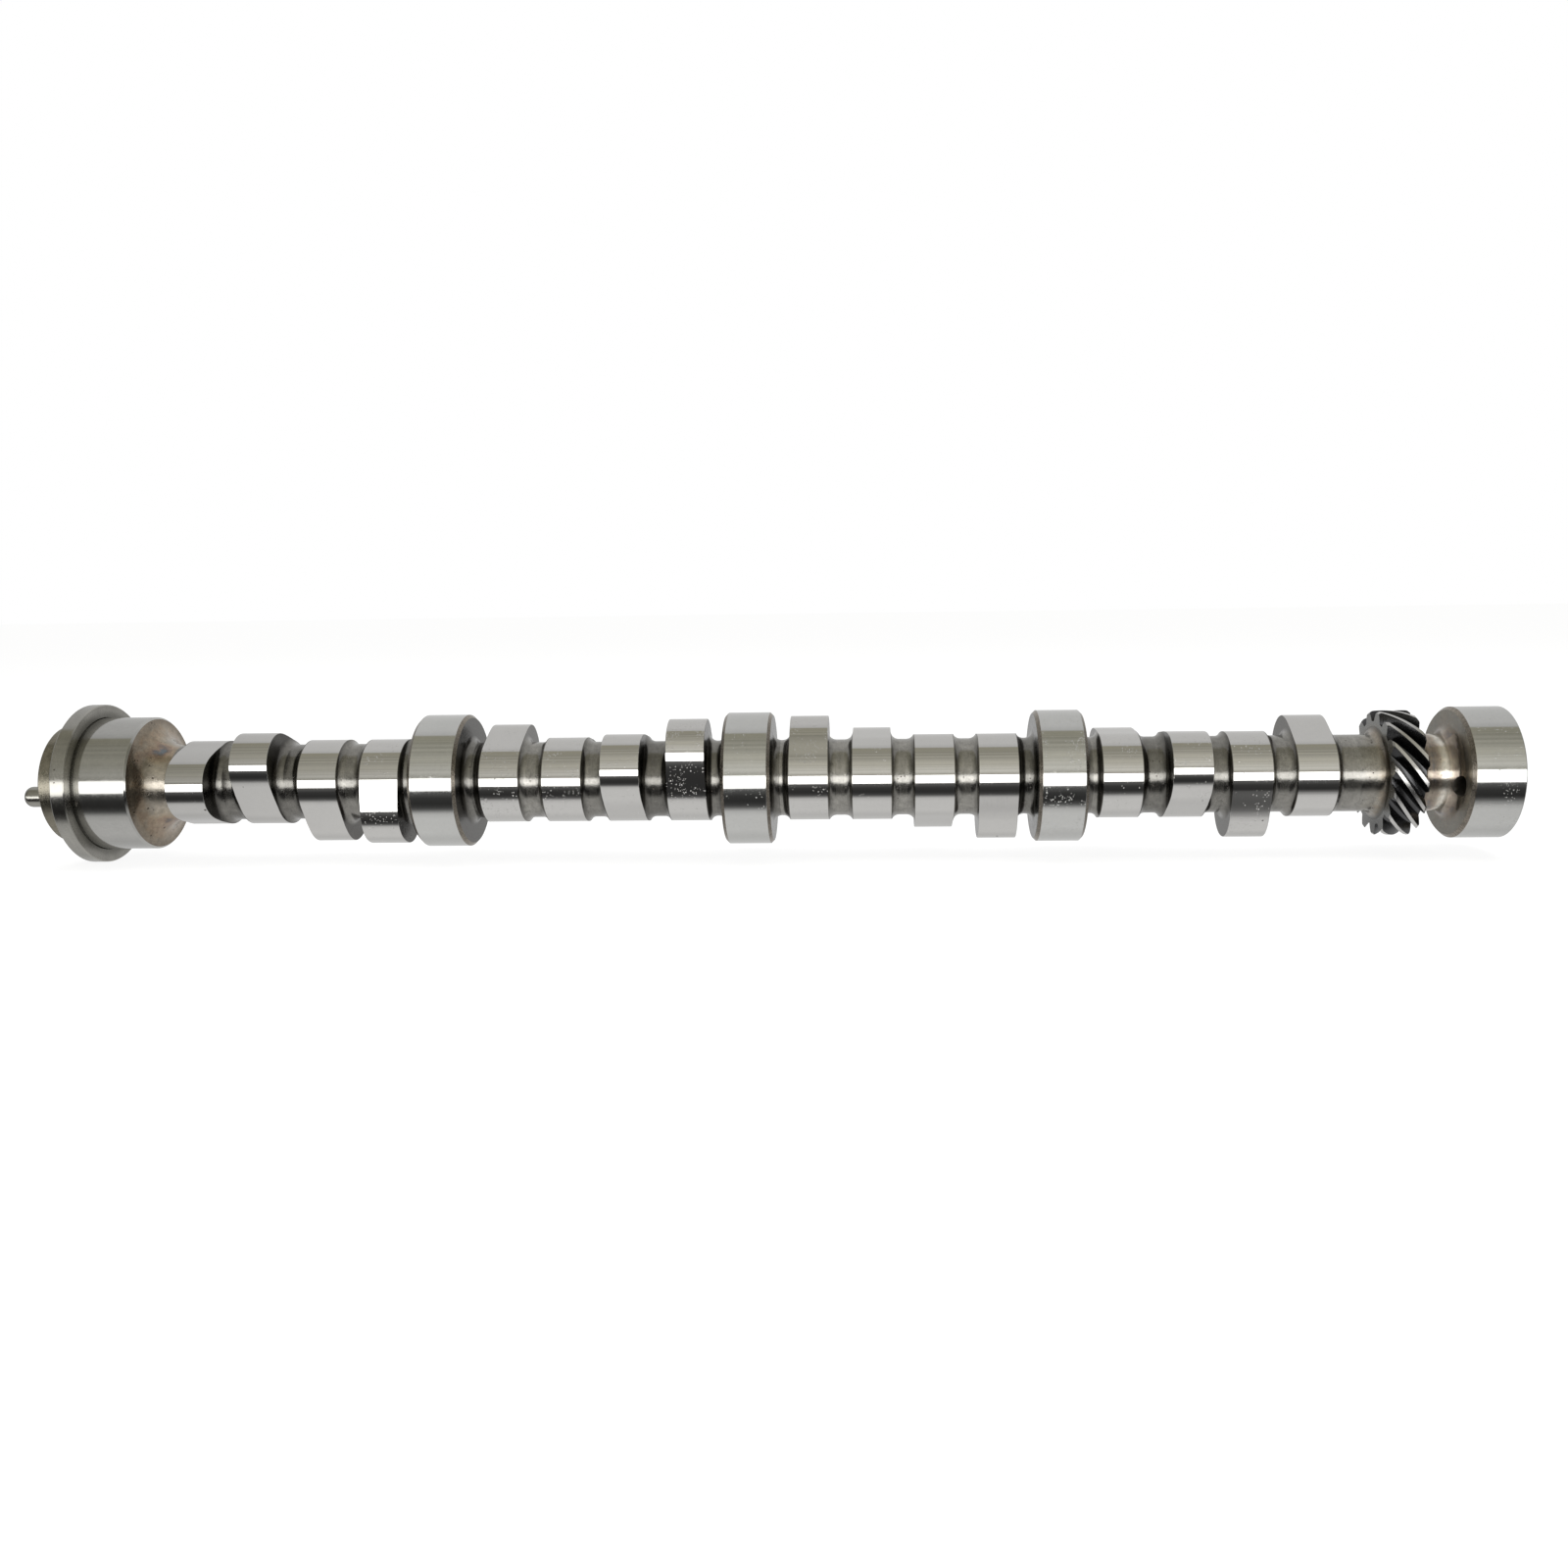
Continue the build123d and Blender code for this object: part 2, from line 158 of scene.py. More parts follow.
@dataclass
class Profile:
    """A turned outline: place, radius and direction of each point, and the zone of each stretch."""

    x: list[float] = field(default_factory=list)
    r: list[float] = field(default_factory=list)
    tx: list[float] = field(default_factory=list)
    tr: list[float] = field(default_factory=list)
    zones: list[Zone] = field(default_factory=list)

    def put(self, x: float, r: float, tx: float, tr: float, zone: Zone) -> None:
        """Adds one point, with the zone of the stretch that leads up to it."""
        if self.x and abs(self.x[-1] - x) + abs(self.r[-1] - r) < 1e-7:
            return
        if self.x:
            self.zones.append(zone)
        self.x.append(x)
        self.r.append(r)
        self.tx.append(tx)
        self.tr.append(tr)

    def arc(self, centre: tuple[float, float], radius: float, start: float, end: float, steps: int,
            zone: Zone) -> None:
        """Adds an arc.

        A point of it is the centre plus radius times (cos w, sin w), with w going from start to end.

        Args:
            centre: place and radius of the arc's centre.
            radius: radius of the arc.
            start: first angle w in degrees.
            end: last angle w in degrees.
            steps: how many stretches the arc has.
            zone: the arc's zone.
        """
        turn = 1.0 if end > start else -1.0
        for w in np.radians(np.linspace(start, end, steps + 1)):
            self.put(centre[0] + radius * math.cos(w), centre[1] + radius * math.sin(w),
                     -turn * math.sin(w), turn * math.cos(w), zone)

    def corners(self, points: list[Corner], steps: int = 3) -> None:
        """Adds straight stretches between points, each corner broken by an arc that is tangent to both.

        The arc starts radius * tan(half the turn) before the corner and ends as far after it.

        Args:
            points: the corners in order. The first and last have no radius.
            steps: how many stretches each corner's arc has.
        """
        for a, b, c in zip(points, points[1:], [*points[2:], None]):
            zone = b.zone or Zone.TURNED
            away = direction(a, b)
            if a is points[0]:
                self.put(a.x, a.r, *away, zone)
            if c is None or b.radius <= 0.0:
                self.put(b.x, b.r, *away, zone)
                continue
            onward = direction(b, c)
            turn = math.atan2(away[0] * onward[1] - away[1] * onward[0], float(away @ onward))
            begin = np.array([b.x, b.r]) - away * b.radius * math.tan(abs(turn) / 2.0)
            ray = -math.copysign(b.radius, turn) * np.array([-away[1], away[0]])
            for k in range(steps + 1):
                w = turn * k / steps
                point = begin - ray + rotated(ray, w)
                self.put(point[0], point[1], *rotated(away, w), zone)

    def refine(self, longest: float) -> "Profile":
        """Divides every stretch longer than the given length into equal parts.

        Args:
            longest: longest stretch that stays whole.

        Returns:
            A new profile. Its added points and their directions lie on straight lines between the old ones.
        """
        out = Profile()
        for i in range(len(self.x) - 1):
            size = math.hypot(self.x[i + 1] - self.x[i], self.r[i + 1] - self.r[i])
            parts = max(1, math.ceil(size / longest))
            for k in range(parts):
                t = k / parts
                out.put(*(float(v[i] * (1 - t) + v[i + 1] * t) for v in (self.x, self.r, self.tx, self.tr)),
                        self.zones[i] if k else (self.zones[i - 1] if i else self.zones[0]))
        out.put(self.x[-1], self.r[-1], self.tx[-1], self.tr[-1], self.zones[-1])
        return out

    def skin(self, count: int) -> Skin:
        """Turns the outline round the axis.

        Args:
            count: points round each ring.

        Returns:
            The skin of revolution, with no heat tint, darkening, oil or painted highlight on it yet.
        """
        ones = np.ones((1, count))
        x, r, tx, tr = (np.array(v)[:, None] * ones for v in (self.x, self.r, self.tx, self.tr))
        a = np.ones((len(self.x), 1)) * ring_angles(count)[None, :]
        return Skin(x, r, a, tx, tr, list(self.zones), np.zeros_like(x), np.zeros_like(x))


def around(x: np.ndarray, r: np.ndarray, a: np.ndarray) -> np.ndarray:
    """Places (x, -r cos a, r sin a) as an array with one more axis, of length 3."""
    return np.stack([x, -r * np.cos(a), r * np.sin(a)], axis=-1)


def ring_steps(count: int) -> tuple[np.ndarray, np.ndarray]:
    """Numbers of a ring's points, and the number of the next point round the ring for each."""
    j = np.arange(count)
    return j, (j + 1) % count


def ring_quads(starts: np.ndarray, count: int, inward: bool = False) -> np.ndarray:
    """Quads between each two neighbouring rings.

    Args:
        starts: index of each ring's first point.
        count: points in each ring.
        inward: whether the quads face the axis.

    Returns:
        One row of four corner indices for each quad.
    """
    here, there = starts[:-1, None], starts[1:, None]
    j, k = ring_steps(count)
    corners = [here + j, there + j, there + k, here + k]
    if inward:
        corners = [corners[0], *reversed(corners[1:])]
    return np.stack(corners, axis=-1).reshape(-1, 4)


def skin_points(skin: Skin) -> np.ndarray:
    """Places of a skin's points, as an array of shape (rings, points, 3)."""
    return around(skin.x, skin.r, skin.a)


def skin_normals(skin: Skin) -> np.ndarray:
    """Outward unit normals of a skin.

    The normal is the cross product of the profile's direction (tx, tr, 0) and the ring's direction
    (dx/da, dr/da, r), in the local frame of shaft, outwards and round, then turned into X, Y and Z.

    Args:
        skin: the surface.

    Returns:
        An array of shape (rings, points, 3).
    """
    step = 2.0 * math.pi / skin.a.shape[1]

    def slope(v: np.ndarray) -> np.ndarray:
        """Central difference round the ring."""
        return (np.roll(v, -1, axis=1) - np.roll(v, 1, axis=1)) / (2.0 * step)

    x_a, r_a = slope(skin.x), slope(skin.r)
    outward = skin.tx * skin.r
    sideways = skin.tr * x_a - skin.tx * r_a
    n = np.stack([-skin.tr * skin.r,
                  -outward * np.cos(skin.a) + sideways * np.sin(skin.a),
                  outward * np.sin(skin.a) + sideways * np.cos(skin.a)], axis=-1)
    if skin.holes:
        points = skin_points(skin)
        round_step = np.roll(points, -1, axis=1) - np.roll(points, 1, axis=1)
        walls = np.logical_or.reduce(skin.holes)
        n[walls] = np.cross(np.gradient(points, axis=0), round_step)[walls]
    size = np.linalg.norm(n, axis=-1, keepdims=True)
    return n / np.where(size < 1e-12, 1.0, size)


@dataclass
class Patch:
    """A mesh in the making: points, normals, faces and a value of each attribute at each point."""

    points: list[np.ndarray] = field(default_factory=list)
    normals: list[np.ndarray] = field(default_factory=list)
    faces: list[np.ndarray] = field(default_factory=list)
    face_zones: list[np.ndarray] = field(default_factory=list)
    tint_and_shade: list[np.ndarray] = field(default_factory=list)
    oil_and_sheen: list[np.ndarray] = field(default_factory=list)
    size: int = 0

    def add_points(self, points: np.ndarray, normals: np.ndarray, tint_and_shade: np.ndarray | None = None,
                   oil_and_sheen: np.ndarray | None = None) -> int:
        """Adds points and returns the index of the first. An attribute that isn't given is 0."""
        first = self.size
        self.points.append(points.reshape(-1, 3))
        self.normals.append(np.broadcast_to(normals, points.shape).reshape(-1, 3))
        self.size += self.points[-1].shape[0]
        for kept, values in ((self.tint_and_shade, tint_and_shade), (self.oil_and_sheen, oil_and_sheen)):
            kept.append(np.zeros(self.size - first) if values is None else values.reshape(-1))
        return first

    def add_faces(self, faces: np.ndarray, zones: Zone | np.ndarray) -> None:
        """Adds faces of equal size: rows of corner indices, and one zone for all or each face's number."""
        self.faces.append(faces)
        if isinstance(zones, Zone):
            zones = np.full(len(faces), ZONE_NUMBER[zones])
        self.face_zones.append(zones)

    def add_skin(self, skin: Skin, cap_front: bool = True, cap_rear: bool = True) -> int:
        """Adds a skin's rings with a quad between each four neighbours, and a cap on each open end asked for.

        Args:
            skin: the surface.
            cap_front: whether the first ring is closed by a fan round its own centre.
            cap_rear: whether the last ring is closed so.

        Returns:
            The index of the first point.
        """
        rings, count = skin.x.shape
        first = self.add_points(skin_points(skin), skin_normals(skin), skin.tint_and_shade, skin.oil_and_sheen)
        zones = np.repeat([ZONE_NUMBER[z] for z in skin.zones], count)
        # Wall faces of drilled holes get the near-black hole finish, which paints their shade.
        for hole in skin.holes:
            walls = hole | np.roll(hole, -1, axis=1)
            zones[(walls[:-1] | walls[1:]).ravel()] = ZONE_NUMBER[Zone.HOLE]
        self.add_faces(ring_quads(first + np.arange(rings) * count, count), zones)
        if cap_front:
            self.add_cap(first, count, float(skin.x[0].mean()), -1.0, skin.zones[0])
        if cap_rear:
            last = first + (rings - 1) * count
            self.add_cap(last, count, float(skin.x[-1].mean()), 1.0, skin.zones[-1])
        return first

    def add_cap(self, start: int, count: int, x: float, way: float, zone: Zone,
                centre: tuple[float, float] = (0.0, 0.0)) -> None:
        """Closes a ring with a fan of triangles.

        Args:
            start: index of the ring's first point.
            count: points in the ring.
            x: place of the fan's middle along the shaft.
            way: -1 for a cap that faces the front, 1 for one that faces the rear.
            zone: the cap's zone.
            centre: Y and Z of the fan's middle.
        """
        middle = self.add_points(np.array([[x, *centre]]), np.array([[way, 0.0, 0.0]]))
        j, k = ring_steps(count)
        near, far = (j, k) if way < 0.0 else (k, j)
        self.add_faces(np.stack([np.full(count, middle), start + near, start + far], axis=-1), zone)

    def build(self, name: str, finishes: dict[Zone, bpy.types.Material], slot: str = STEEL_SLOT,
              replaces: str | None = None, sharp: float | None = None) -> bpy.types.Object:
        """Puts the mesh into the scene as a piece of the shaft.

        Args:
            name: the piece's name.
            finishes: the material of each zone.
            slot: the record's material slot.
            replaces: the CAD node that this piece stands for, if any.
            sharp: angle in degrees past which an edge is sharp, for a mesh whose normals come from its faces.

        Returns:
            The new object, at the origin, with its place in its mesh.
        """
        points = np.concatenate(self.points) * MM
        normals = np.concatenate(self.normals)
        zones = np.concatenate(self.face_zones)
        used = zones[np.sort(np.unique(zones, return_index=True)[1])]
        sizes = np.concatenate([np.full(len(f), f.shape[1]) for f in self.faces])
        corners = np.concatenate([f.reshape(-1) for f in self.faces]).astype(np.int32)
        starts = np.concatenate([[0], np.cumsum(sizes)[:-1]]).astype(np.int32)
        slots = np.zeros(len(ZONES), np.int32)
        slots[used] = np.arange(len(used))
        mesh = bpy.data.meshes.new(name)
        mesh.vertices.add(len(points))
        mesh.vertices.foreach_set("co", points.astype(np.float32).ravel())
        mesh.loops.add(len(corners))
        mesh.loops.foreach_set("vertex_index", corners)
        mesh.polygons.add(len(sizes))
        mesh.polygons.foreach_set("loop_start", starts)
        mesh.polygons.foreach_set("material_index", slots[zones])
        for zone in used:
            mesh.materials.append(finishes[ZONES[zone]])
        mesh.update(calc_edges=True)
        mesh.validate()
        mesh.shade_smooth()
        # The attributes are heat tint and darkening, with painted shade, and oil, with a painted highlight.
        for label, values in (("tint_and_shade", self.tint_and_shade), ("oil_and_sheen", self.oil_and_sheen)):
            attribute = mesh.attributes.new(label, "FLOAT", "POINT")
            attribute.data.foreach_set("value", np.concatenate(values).astype(np.float32))
        if sharp is None:
            mesh.normals_split_custom_set_from_vertices(normals.tolist())
        else:
            mesh.set_sharp_from_angle(angle=math.radians(sharp))
        piece = bpy.data.objects.new(name, mesh)
        bpy.context.scene.collection.objects.link(piece)
        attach(piece, BODY)
        if replaces:
            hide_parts(replaces)
        return piece


# ------------------------------------------------------------------------------------------- sub-assemblies


@dataclass
class DrilledHole:
    """A hole sunk into a skin by moving its grid, so that the hole's edge runs along grid lines.

    The grid's squares round the hole's centre become rings: those outside half of the window spread from the
    hole's outline out to the window, and those inside it go down the wall and close on the floor.
    """

    ring: int
    angle: float
    half_rings: int
    half_points: int
    along: float
    across: float
    depth: float
    lean: float = 0.0


@dataclass
class NeckSizes:
    """Sizes that the necks and their neighbours share."""

    radius: float = 14.6
    fillet: float = 3.0
    fillet_steps: int = 6


NECK = NeckSizes()
POINTS_ROUND = 480


@dataclass
class CamLobes:
    """Four lobes between two bearing journals, with the necks that join them.

    A lobe's rim is worked out from its lift: a roller rides on it, and the roller's centre lies at
    base + roller + lift * (1 - u ** ramp) ** crest from the axis, where u is the share of the half duration.
    """

    name: str
    start: float
    end: float
    places: tuple[float, ...]
    noses: tuple[float, ...]
    exhausts: tuple[bool, ...]
    oil: tuple[float, ...]
    darkening: tuple[float, ...]
    base_circle: float = 16.3
    roller: float = 10.2
    intake_lift: float = 7.82
    exhaust_lift: float = 8.09
    intake_half_duration: float = 74.2
    exhaust_half_duration: float = 78.6
    ramp: float = 2.33
    crest: float = 2.46
    width: float = 14.6
    edge: float = 0.22
    least_edge: float = 0.03
    ledge: float = 0.02

    def rim(self, nose: float, exhaust: bool) -> np.ndarray:
        """Radius of a lobe's rim at each point of a ring.

        The roller's centre runs on a curve c(t), and the rim point is c less the roller's radius along the
        curve's outward normal. The rim's radius is then read off at even angles.

        Args:
            nose: angle of the lobe's nose in degrees.
            exhaust: whether the lobe has the exhaust lift.

        Returns:
            One radius for each point of a ring.
        """
        lift = self.exhaust_lift if exhaust else self.intake_lift
        half = math.radians(self.exhaust_half_duration if exhaust else self.intake_half_duration)
        t = np.linspace(-math.pi, math.pi, 7201)
        share = np.clip(np.abs(t) / half, 0.0, 1.0)
        reach = self.base_circle + self.roller + lift * (1.0 - share**self.ramp) ** self.crest
        slope = np.gradient(reach, t)
        size = np.hypot(reach, slope)
        out, side = reach - self.roller * reach / size, self.roller * slope / size
        angle = t + np.arctan2(side, out)
        radius = np.hypot(out, side)
        wanted = (ring_angles(POINTS_ROUND) - math.radians(nose) + math.pi) % (2.0 * math.pi) - math.pi
        return np.interp(wanted, angle, radius)

    def lobe_rings(self, place: float, rim: np.ndarray) -> list[tuple]:
        """Rings of one lobe from its front fillet to its rear one.

        A fillet is a quarter of a circle that ends at the lobe's side, or at the rim where the rim is lower.
        The side goes up to the broken edge, a short arc that is tangent to side and rim.

        Args:
            place: middle of the lobe along the shaft.
            rim: the rim's radius at each point.

        Returns:
            One tuple for each ring: x, r, tx, tr and the zone of the stretch that leads up to it.
        """
        foot = NECK.radius + NECK.fillet
        top = np.minimum(foot, rim)
        last = np.arccos((foot - top) / NECK.fillet)
        edge = np.maximum(self.edge * smooth(0.2, 1.4, rim - foot), self.least_edge)
        flat = (rim > foot).astype(float)
        zero, one = 0.0 * rim, 1.0 + 0.0 * rim
        face = place - self.width / 2.0
        half: list[tuple] = []
        for k in range(NECK.fillet_steps + 1):
            w = last * k / NECK.fillet_steps
            x = face - NECK.fillet + NECK.fillet * np.sin(w)
            half.append((x, foot - NECK.fillet * np.cos(w), np.cos(w), np.sin(w), Zone.SIDE))
        on = self.ledge * (1.0 - flat)
        half.append((half[-1][0] + on, top + self.ledge * flat, 1.0 - flat, flat, Zone.SIDE))
        half.append((face + zero, rim - edge * flat, 1.0 - flat, flat, Zone.SIDE))
        for w in (math.pi / 4.0, math.pi / 2.0):
            c, s = math.cos(w), math.sin(w)
            down = edge * flat * (1.0 - s)
            half.append((face + edge * (1.0 - c), rim - down, s * one, flat * c, Zone.GROUND_LOBE))
        half.append((face + self.width / 4.0 + zero, rim, one, zero, Zone.GROUND_LOBE))
        middle = (place + zero, rim, one, zero, Zone.GROUND_LOBE)
        zones = [Zone.GROUND_LOBE, *(ring[4] for ring in reversed(half[1:]))]
        rear = [(2.0 * place - x, r, tx, -tr, zone) for (x, r, tx, tr, _), zone in zip(reversed(half), zones)]
        return [*half, middle, *rear]

    def skin(self) -> Skin:
        """The bay's whole skin, from neck to neck."""
        ones = np.ones(POINTS_ROUND)
        rings = [(self.start * ones, NECK.radius * ones, ones, 0.0 * ones, Zone.TURNED)]
        for place, nose, exhaust in zip(self.places, self.noses, self.exhausts):
            lobe = self.lobe_rings(place, self.rim(nose, exhaust))
            lobe[0] = (*lobe[0][:4], Zone.TURNED)
            rings += lobe
        rings.append((self.end * ones, NECK.radius * ones, ones, 0.0 * ones, Zone.TURNED))
        x, r, tx, tr = (np.array([np.broadcast_to(ring[i], ones.shape) for ring in rings]) for i in range(4))
        a = np.ones_like(x) * ring_angles(POINTS_ROUND)[None, :]
        # Each neck, with the lobe halves beside it, is made darker by its own amount.
        tint_and_shade = -np.array(self.darkening)[np.searchsorted(np.array(self.places), x)]
        oil_and_sheen = np.zeros_like(x)
        for place, amount in zip(self.places, self.oil):
            oil_and_sheen += amount * (np.abs(x - place) < self.width / 2.0 + 0.01)
        return Skin(x, r, a, tx, tr, [ring[4] for ring in rings[1:]], tint_and_shade, oil_and_sheen)

    def build(self, finishes: dict[Zone, bpy.types.Material]) -> bpy.types.Object:
        """Builds the bay as one piece."""
        patch = Patch()
        patch.add_skin(self.skin())
        return patch.build(self.name, finishes, replaces="camshaft")


@dataclass
class BearingJournal:
    """A bearing journal inside the row of lobes, with its two chamfers and hollow shoulders."""

    name: str
    place: float
    radius: float
    oil: float = 0.0
    darkening: float = 0.5
    width: float = 18.2
    chamfer: float = 1.2

    @property
    def start(self) -> float:
        """Front end of the piece, where the front fillet meets the neck."""
        return self.place - self.width / 2.0 - NECK.fillet

    @property
    def end(self) -> float:
        """Rear end of the piece, where the rear fillet meets the neck."""
        return self.place + self.width / 2.0 + NECK.fillet

    def build(self, finishes: dict[Zone, bpy.types.Material]) -> bpy.types.Object:
        """Builds the journal as one piece."""
        front, rear = self.place - self.width / 2.0, self.place + self.width / 2.0
        foot = NECK.radius + NECK.fillet
        out = Profile()
        out.arc((front - NECK.fillet, foot), NECK.fillet, -90.0, 0.0, 8, Zone.SIDE)
        out.corners([
            Corner(front, foot), Corner(front, self.radius - self.chamfer, 0.15, Zone.SIDE),
            Corner(front + self.chamfer, self.radius, 0.25, Zone.CHAMFER),
            Corner(rear - self.chamfer, self.radius, 0.25, Zone.GROUND_JOURNAL),
            Corner(rear, self.radius - self.chamfer, 0.15, Zone.CHAMFER),
            Corner(rear, foot, 0.0, Zone.SIDE),
        ])
        out.arc((rear + NECK.fillet, foot), NECK.fillet, 180.0, 270.0, 8, Zone.SIDE)
        skin = out.refine(2.5).skin(POINTS_ROUND)
        # The journal's turned sides and fillets are made darker by this amount.
        skin.tint_and_shade = np.full_like(skin.x, -self.darkening)
        skin.oil_and_sheen = self.oil * (skin.r > self.radius - 0.1)
        patch = Patch()
        patch.add_skin(skin)
        return patch.build(self.name, finishes)


@dataclass
class FrontEnd:
    """Boss, thrust flange and front journal, with the bolt's bore and the dowel's hole in the front face."""

    name: str = "front_end"
    journal_radius: float = 2.0357 * INCH / 2.0
    journal_width: float = 20.5
    ground_edge: float = 0.2
    dish_chamfer: float = 0.7
    dish_fillet: float = 10.5
    flange_radius: float = 31.0
    flange_width: float = 5.5
    flange_edge: float = 0.4
    boss_radius: float = 22.8
    boss_length: float = 9.7
    boss_edge: float = 0.5
    relief_width: float = 0.4
    relief_depth: float = 0.5
    relief_cut: float = 0.2
    relief_rise: float = 0.3
    bore_radius: float = 4.65
    thread_depth: float = 0.95
    bore_depth: float = 32.0
    mouth_chamfer: float = 1.2
    point_angle: float = 59.0
    dowel_radius: float = 5.0 / 32.0 * INCH
    dowel_pitch_radius: float = 0.5 * INCH
    dowel_angle: float = -16.2
    dowel_hole_depth: float = 13.5
    dowel_mouth: float = 0.35
    dowel_clearance: float = 0.02
    bolt_points: int = 96
    dowel_points: int = 64
    blue_angles: tuple[float, float] = (58.0, 296.0)
    oil_hole_angle: float = -9.6
    oil_hole_along: float = 0.55
    oil_hole_across: float = 1.05
    oil_hole_depth: float = 4.0
    oil_hole_grid: float = 0.22

    @property
    def thrust_x(self) -> float:
        """Place of the flange's rear face."""
        return -self.journal_width / 2.0

    @property
    def flange_x(self) -> float:
        """Place of the flange's front face."""
        return self.thrust_x - self.flange_width

    @property
    def front_x(self) -> float:
        """Place of the boss's front face."""
        return self.flange_x - self.boss_length

    @property
    def oil_hole_x(self) -> float:
        """Place of the oil hole's middle, just behind the ground band's front edge."""
        return self.thrust_x + self.relief_width + self.ground_edge + self.oil_hole_along + 0.1

    @property
    def end(self) -> float:
        """Rear end of the piece, where the dish runs out into the neck."""
        return self.journal_width / 2.0 + self.dish_fillet

    def outline(self) -> Profile:
        """Outline from the boss's front edge to the neck behind the journal."""
        out = Profile()
        relief = self.journal_radius - self.relief_depth
        ground_x = self.thrust_x + self.relief_width
        dish_foot = NECK.radius + self.dish_fillet
        rear = self.journal_width / 2.0
        out.corners([
            Corner(self.front_x, self.boss_radius - 3.0),
            Corner(self.front_x, self.boss_radius - self.boss_edge, 0.2, Zone.BOSS),
            Corner(self.front_x + self.boss_edge, self.boss_radius, 0.2, Zone.BOSS),
            Corner(self.flange_x, self.boss_radius, 0.3, Zone.BOSS),
            Corner(self.flange_x, self.flange_radius - self.flange_edge, 0.15, Zone.FLANGE),
            Corner(self.flange_x + self.flange_edge, self.flange_radius, 0.15, Zone.FLANGE),
            Corner(self.thrust_x - self.flange_edge, self.flange_radius, 0.15, Zone.FLANGE),
            Corner(self.thrust_x, self.flange_radius - self.flange_edge, 0.15, Zone.FLANGE),
            Corner(self.thrust_x, self.journal_radius + self.relief_rise, 0.1, Zone.THRUST),
            Corner(self.thrust_x - self.relief_cut, relief, 0.12, Zone.THRUST),
            Corner(ground_x, relief, 0.12, Zone.THRUST),
            Corner(ground_x, self.journal_radius - self.ground_edge, 0.1, Zone.THRUST),
            Corner(ground_x + self.ground_edge, self.journal_radius, 0.15, Zone.FRONT_JOURNAL),
            *(Corner(self.oil_hole_x + i * self.oil_hole_grid, self.journal_radius, 0.0, Zone.FRONT_JOURNAL)
              for i in range(-1, 7)),
            Corner(rear - self.dish_chamfer, self.journal_radius, 0.2, Zone.FRONT_JOURNAL),
            Corner(rear, self.journal_radius - self.dish_chamfer, 0.15, Zone.FRONT_JOURNAL),
            Corner(rear, dish_foot, 0.0, Zone.DISH),
        ])
        out.arc((rear + self.dish_fillet, dish_foot), self.dish_fillet, 180.0, 270.0, 18, Zone.DISH)
        return out

    def sockets(self) -> list[tuple]:
        """The two blind holes in the front face.

        Returns:
            The bolt's bore and the dowel's hole. Each has the place, radius and direction of its rings from
            the mouth inwards, then Y and Z of its centre, then how many points a ring has.
        """
        wall = self.bore_radius + self.thread_depth
        end = self.front_x + self.bore_depth
        bolt = [(self.front_x, self.bore_radius + self.mouth_chamfer, 0.7, -0.7),
                (self.front_x + self.mouth_chamfer * 0.3, wall, 0.9, -0.4),
                (self.front_x + self.mouth_chamfer, wall, 1.0, 0.0), (end, wall, 1.0, 0.0),
                (end + wall / math.tan(math.radians(self.point_angle)), 0.02, 0.5, -0.8)]
        hole = self.dowel_radius + self.dowel_clearance
        dowel = [(self.front_x, self.dowel_radius + self.dowel_mouth, 0.7, -0.7),
                 (self.front_x + self.dowel_mouth, hole, 0.9, -0.3),
                 (self.front_x + self.dowel_hole_depth, hole, 1.0, 0.0)]
        w = math.radians(self.dowel_angle)
        centre = (-self.dowel_pitch_radius * math.cos(w), self.dowel_pitch_radius * math.sin(w))
        return [(bolt, (0.0, 0.0), self.bolt_points), (dowel, centre, self.dowel_points)]

    def add_face(self, patch: Patch, edge: np.ndarray) -> list[int]:
        """Adds the flat front face between the boss's edge and the mouths of the sockets.

        Args:
            patch: the mesh in the making.
            edge: indices of the points round the face's outer edge.

        Returns:
            The index of the first point of each mouth.
        """
        loops = [edge]
        for rings, centre, count in self.sockets():
            ring = around(np.full(count, self.front_x), np.full(count, rings[0][1]), ring_angles(count))
            start = patch.add_points(ring + np.array([0.0, *centre]), np.array([-1.0, 0.0, 0.0]))
            loops.append(np.arange(start, start + count))
        places = np.concatenate(patch.points)
        flat = [[Vector((places[i][1], places[i][2], 0.0)) for i in loop] for loop in loops]
        triangles = np.concatenate(loops)[np.array(tessellate_polygon(flat), int)]
        a, b, c = (places[triangles[:, i]] for i in range(3))
        wrong = np.cross(b - a, c - a)[:, 0] > 0.0
        triangles[wrong] = triangles[wrong][:, ::-1]
        patch.add_faces(triangles, Zone.BOSS)
        return [int(loop[0]) for loop in loops[1:]]

    @staticmethod
    def add_socket(patch: Patch, rings: list[tuple], centre: tuple[float, float], count: int,
                   mouth: int) -> None:
        """Adds a blind hole's wall and floor behind a ring of points on a flat face.

        Args:
            patch: the mesh in the making.
            rings: place, radius and direction of each ring, from the mouth inwards.
            centre: the hole's centre in Y and Z.
            count: points in each ring.
            mouth: index of the mouth's first point on the face.
        """
        a = ring_angles(count)
        x, r, tx, tr = (np.repeat(np.array(values)[:, None], count, axis=1) for values in zip(*rings[1:]))
        normals = np.stack([tr, tx * np.cos(a), -tx * np.sin(a)], axis=-1)
        first = patch.add_points(around(x, r, a) + np.array([0.0, *centre]), normals)
        starts = np.array([mouth, *(first + i * count for i in range(len(rings) - 1))])
        patch.add_faces(ring_quads(starts, count, inward=True), Zone.BORE)
        patch.add_cap(int(starts[-1]), count, float(x[-1, 0]), -1.0, Zone.BORE, centre)

